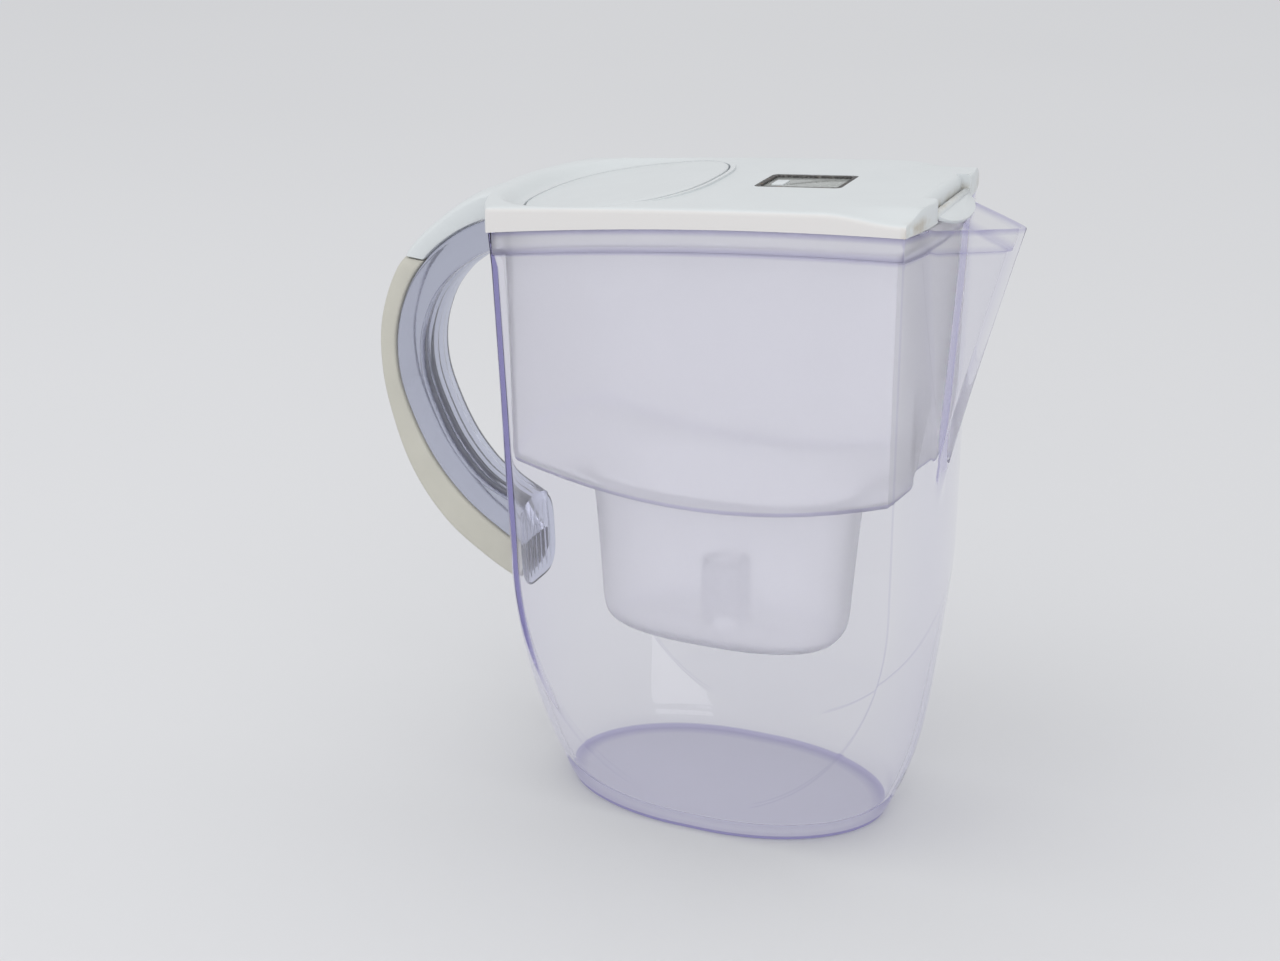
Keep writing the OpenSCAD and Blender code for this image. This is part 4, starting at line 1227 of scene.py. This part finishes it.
def clear_plastic(s):
    n = material("clear_plastic")
    scratch = n.noise(1.1, 3, 0.6, (1, 1, 0.12))
    ripple = n.maths("ADD", n.noise(34, 2), n.times(scratch, 0.03))
    # The base colour carries painted shade along the jug's edge lines
    return n.finish({
        "Base Color": n.edge_lines((0.992, 0.992, 0.996), s.jug_edge), "IOR": 1.035,
        "Roughness": n.ranged(n.noise(22, 5), 0.35, 0.75, 0.012, 0.06), "Transmission Weight": 1.0,
        "Coat Weight": n.front_only(0.8), "Coat Roughness": 0.03, "Normal": n.bump(ripple, 0.18, 0.5),
    }, (0.90, 0.90, 0.94), (s.jug_tint, s.jug_depth))


def core_plastic(s):
    n = material("core_plastic")
    return n.finish({
        "Base Color": (0.74, 0.765, 0.87), "IOR": 1.33, "Roughness": n.spread(n.noise(14, 5), 0.08, 0.18),
        "Transmission Weight": 1.0, "Coat Weight": n.front_only(0.7), "Coat Roughness": 0.06,
        "Normal": n.bump(n.noise(9, 3), 0.25, 0.4),
    }, (0.72, 0.72, 0.78), (s.handle_core_tint, 22.0))


def frosted_plastic(s):
    n = material("frosted_plastic")
    cloud = n.noise(18, 5)
    tint = n.clouded(n.spread(cloud, 0, 1), s.hopper_tint, 0.985)
    # The base colour carries painted shade along the hopper's edge lines
    return n.finish({
        "Base Color": n.edge_lines(tint, s.jug_edge), "IOR": 1.1, "Roughness": n.spread(cloud, 0.29, 0.35),
        "Transmission Weight": 1 - s.hopper_frost, "Normal": n.bump(n.noise(0.7, 2), 0.03, 0.1),
    }, (0.93, 0.93, 0.95), (s.jug_tint, 0.4 * s.jug_depth))


def lid_plastic(s):
    n = material("lid_plastic")
    white = n.clouded(n.ranged(n.noise(26, 2), 0.35, 0.65, 0, 1), s.lid_white, 0.985)
    x = n.add("SeparateXYZ", {"Vector": n.place}).outputs
    # Painted light: the lid's flat sides, past 49.5 mm from the middle, are painted warmer than its top, for
    # how light falls on them
    side = n.ranged(n.maths("ABSOLUTE", x["Y"]), 0.0495, 0.0503, 0, 1)
    painted_side_light = n.blend(side, white, [c * k for c, k in zip(s.lid_white, (1.045, 0.975, 0.945))])
    # Dirt and painted shade: a dark brown broken by noise on the wall of the front notch, which is grimy and
    # lies in shade
    notch = n.times(n.ranged(x["X"], 0.0810, 0.0835, 0, 1), n.ranged(x["Z"], 0.2668, 0.2635, 0, 1))
    notch = n.times(notch, n.ranged(x["X"], 0.0872, 0.0860, 0, 1))
    notch_grime_and_shade = n.times(notch, n.ranged(n.noise(7, 3), 0.36, 0.66, 0, 0.6))
    speck = n.add("TexVoronoi", {"Vector": n.place, "Scale": 105.0, "Randomness": 1.0})
    speck = n.ranged(speck.outputs["Distance"], 0.035, 0.022, 0, 0.5)
    rub = n.ranged(n.noise(60, 2), 0.62, 0.7, 0, 1)
    grain = n.maths("ADD", n.noise(40, 2), n.times(n.noise(1.3, 3), 0.004))
    return n.finish({
        "Base Color": n.blend(n.maths("MAXIMUM", notch_grime_and_shade, n.times(speck, rub)), painted_side_light, s.lid_grime),
        "Roughness": n.spread(n.noise(16, 2), 0.29, 0.35), "IOR": 1.48, "Normal": n.bump(grain, 0.05, 0.5)})


def ivory_plastic(s):
    n = material("ivory_plastic")
    return n.finish({
        "Base Color": n.clouded(n.spread(n.noise(20, 5), 0, 1), s.handle_ivory, 0.93), "IOR": 1.46,
        "Roughness": n.spread(n.noise(6, 5), 0.38, 0.52), "Normal": n.bump(n.noise(0.9, 3), 0.10, 0.15)})


def worn_frame(s):
    n = material("worn_frame")
    chips = n.noise(1.3, 6, 0.7)
    pale = [min(1, 3.4 * c) for c in s.indicator_dark]
    tone = n.blend(n.ranged(chips, 0.5, 0.62, 0, 1), s.indicator_dark, pale)
    tone = n.blend(n.ranged(n.noise(4.5, 4), 0.58, 0.7, 0, 1), tone, (0.16, 0.12, 0.085))
    return n.finish({"Base Color": tone, "Roughness": n.spread(chips, 0.45, 0.85),
                     "Normal": n.bump(chips, 0.6, 0.3)})


def pane_plastic():
    n = material("pane_plastic")
    return n.finish({
        "Base Color": (0.62, 0.64, 0.63), "IOR": 1.1, "Transmission Weight": 0.5,
        "Roughness": n.ranged(n.noise(2.5, 3), 0.4, 0.7, 0.10, 0.20),
        "Normal": n.bump(n.noise(5, 3), 0.08, 0.2)}, (0.9, 0.92, 0.92))


def display_glass(s):
    n = material("display_glass")
    x = n.add("SeparateXYZ", {"Vector": n.place}).outputs
    patch = n.times(n.ranged(x["X"], 0.031, 0.036, 0, 1), n.ranged(x["X"], 0.0425, 0.0385, 0, 1))
    patch = n.times(patch, n.ranged(n.maths("ABSOLUTE", x["Y"]), 0.0075, 0.004, 0, 0.55))
    tone = n.clouded(n.spread(n.noise(7, 4), 0, 1), s.indicator_display, 0.8)
    return n.finish({"Base Color": n.blend(patch, tone, (0.43, 0.46, 0.30)), "Coat Weight": 0.4,
                     "Roughness": n.spread(n.noise(3, 4), 0.15, 0.35), "Coat Roughness": 0.05})


def button_plastic(s):
    n = material("button_plastic")
    grime = n.ranged(n.noise(2.0, 6, 0.7), 0.56, 0.72, 0, 0.5)
    return n.finish({"Base Color": n.blend(grime, s.indicator_button, (0.35, 0.31, 0.25)),
                     "Roughness": n.ranged(grime, 0, 0.5, 0.32, 0.6),
                     "Normal": n.bump(n.noise(0.8, 3), 0.1, 0.1)})


def plain_finish(name, dark, pale, size, rough, metal=0.0, relief=0.15):
    """A finish with a fine grain, for the pieces inside the indicator."""
    n = material(name)
    grain = n.noise(size, 5)
    return n.finish({"Base Color": n.blend(n.spread(grain, 0, 1), dark, pale), "Metallic": metal,
                     "Roughness": n.spread(grain, *rough), "Normal": n.bump(grain, relief, 0.2)})


def seal_foam():
    return plain_finish("seal_foam", (0.02, 0.02, 0.02), (0.055, 0.055, 0.055), 0.5, (0.8, 0.95), 0.0, 0.6)


def housing_plastic():
    return plain_finish("housing_plastic", (0.62, 0.62, 0.61), (0.69, 0.69, 0.68), 1.2, (0.45, 0.6))


def contact_rubber():
    return plain_finish("contact_rubber", (0.42, 0.19, 0.23), (0.56, 0.28, 0.33), 0.6, (0.6, 0.75))


def board_lacquer():
    return plain_finish("board_lacquer", (0.012, 0.075, 0.030), (0.022, 0.125, 0.052), 1.6, (0.25, 0.4))


def plated_metal(bright):
    dark, pale = (0.85 * bright,) * 3, (bright, bright, 0.98 * bright)
    return plain_finish("plated_metal", dark, pale, 0.9, (0.2, 0.38), 1.0, 0.05)


# Stage

def floor_finish(s):
    """A pale floor, which clear plastic shows a little brighter than the light on it is."""
    n = material("stage_floor")
    tone = n.clouded(n.spread(n.noise(900, 2), 0, 1), s.stage_pale, 0.985)
    lit = n.add("BsdfDiffuse", {"Color": tone}).outputs[0]
    even = n.add("Emission", {"Color": tone, "Strength": 1.0}).outputs[0]
    n.add("OutputMaterial", {"Surface": n.mix_shader(n.times(n.ray("Transmission"), 0.6), lit, even)})
    return n.owner


def studio(s):
    """White light from all round, with the pale backdrop where it is looked at."""
    n = Nodes(bpy.data.worlds.new("studio"))
    seen = n.maths("MAXIMUM", n.maths("MAXIMUM", n.ray("Camera"), n.ray("Glossy")), n.ray("Transmission"))
    light = n.add("Background", {"Color": (1, 1, 1), "Strength": s.stage_sky}).outputs[0]
    backdrop = n.add("Background", {"Color": s.stage_pale}).outputs[0]
    n.add("OutputWorld", {"Surface": n.mix_shader(seen, light, backdrop)})
    return n.owner


def make_stage(s):
    scene = bpy.context.scene
    floor_z, sides = -0.15, 96
    mesh = bpy.data.meshes.new("floor")
    edge = circle(0, 0, s.stage_floor_r, floor_z, sides)
    mesh.from_pydata((edge * MM).tolist(), [], [list(range(sides))])
    floor = bpy.data.objects.new("floor", mesh)
    mesh.materials.append(floor_finish(s))
    scene.collection.objects.link(floor)
    scene.world = studio(s)

    for name, place, size, power in (("key", (-0.6, -0.7, 1.9), 1.1, s.stage_key),
                                     ("fill", (0.7, -2.2, 0.8), 1.4, s.stage_fill)):
        lamp = bpy.data.lights.new(name, "AREA")
        lamp.shape, lamp.size, lamp.energy = "SQUARE", size, power
        obj = bpy.data.objects.new(name, lamp)
        obj.location = place
        obj.rotation_euler = (Vector((0, 0, 0.15)) - Vector(place)).to_track_quat("-Z", "Y").to_euler()
        obj.visible_glossy = name == "key"
        scene.collection.objects.link(obj)

    az, el = s.stage_azimuth, s.stage_elevation
    back = Vector((math.sin(az) * math.cos(el), -math.cos(az) * math.cos(el), math.sin(el)))
    camera = bpy.data.objects.new("camera", bpy.data.cameras.new("camera"))
    camera.data.lens, camera.data.sensor_width, camera.data.clip_start = s.stage_lens, 36, 0.05
    camera.location = Vector((s.stage_aim_x, 0, s.stage_aim_z)) * MM + back * s.stage_distance * MM
    camera.rotation_euler = (-back).to_track_quat("-Z", "Y").to_euler()
    scene.collection.objects.link(camera)
    scene.camera = camera
    scene.view_settings.view_transform = "Standard"


# Operators, panel and registration

class PITCHER_OT_jug(bpy.types.Operator):
    """Make the clear jug with its spout and the ledge under its rim"""
    bl_idname = "pitcher.jug"
    bl_label = "Jug"

    def execute(self, context):
        make_jug(Sizes(context.scene))
        return {"FINISHED"}


class PITCHER_OT_handle(bpy.types.Operator):
    """Make the handle: the clear core with its pad, and the ivory strip"""
    bl_idname = "pitcher.handle"
    bl_label = "Handle"

    def execute(self, context):
        make_handle(Sizes(context.scene))
        return {"FINISHED"}


class PITCHER_OT_hopper(bpy.types.Operator):
    """Make the frosted hopper with its cartridge well"""
    bl_idname = "pitcher.hopper"
    bl_label = "Hopper"

    def execute(self, context):
        make_hopper(Sizes(context.scene))
        return {"FINISHED"}


class PITCHER_OT_lid(bpy.types.Operator):
    """Make the white lid with its tail over the handle"""
    bl_idname = "pitcher.lid"
    bl_label = "Lid"

    def execute(self, context):
        make_lid(Sizes(context.scene))
        return {"FINISHED"}


class PITCHER_OT_flaps(bpy.types.Operator):
    """Make the fill flap and the pour flap with their pins"""
    bl_idname = "pitcher.flaps"
    bl_label = "Flaps"

    def execute(self, context):
        make_flaps(Sizes(context.scene))
        return {"FINISHED"}


class PITCHER_OT_indicator(bpy.types.Operator):
    """Make the filter indicator: frame, window, reset button and what lies inside"""
    bl_idname = "pitcher.indicator"
    bl_label = "Filter indicator"

    def execute(self, context):
        make_indicator(Sizes(context.scene))
        return {"FINISHED"}


class PITCHER_OT_stage(bpy.types.Operator):
    """Make the floor, the lamps and the camera"""
    bl_idname = "pitcher.stage"
    bl_label = "Stage"

    def execute(self, context):
        make_stage(Sizes(context.scene))
        return {"FINISHED"}


OPERATORS = (PITCHER_OT_jug, PITCHER_OT_handle, PITCHER_OT_hopper, PITCHER_OT_lid, PITCHER_OT_flaps,
             PITCHER_OT_indicator, PITCHER_OT_stage)


class PITCHER_PT_panel(bpy.types.Panel):
    """Lists the pieces and the sizes"""
    bl_label = "Filter pitcher"
    bl_idname = "PITCHER_PT_panel"
    bl_space_type = "VIEW_3D"
    bl_region_type = "UI"
    bl_category = "Pitcher"

    def draw(self, context):
        for operator in OPERATORS:
            self.layout.operator(operator.bl_idname)
        for part, group in SIZES.items():
            box = self.layout.box()
            box.label(text=part.capitalize())
            for name in group.__annotations__:
                box.prop(getattr(context.scene, "pitcher_" + part), name)


def register():
    for cls in (*SIZES.values(), *OPERATORS, PITCHER_PT_panel):
        bpy.utils.register_class(cls)
    for part, group in SIZES.items():
        setattr(bpy.types.Scene, "pitcher_" + part, PointerProperty(type=group))


def unregister():
    for part in SIZES:
        delattr(bpy.types.Scene, "pitcher_" + part)
    for cls in (PITCHER_PT_panel, *OPERATORS[::-1], *list(SIZES.values())[::-1]):
        bpy.utils.unregister_class(cls)


def main():
    register()
    for operator in OPERATORS:
        name = operator.bl_idname.split(".")[1]
        if getattr(bpy.ops.pitcher, name)() != {"FINISHED"}:
            raise RuntimeError(operator.bl_label + " wasn't made")


if __name__ == "__main__":
    main()
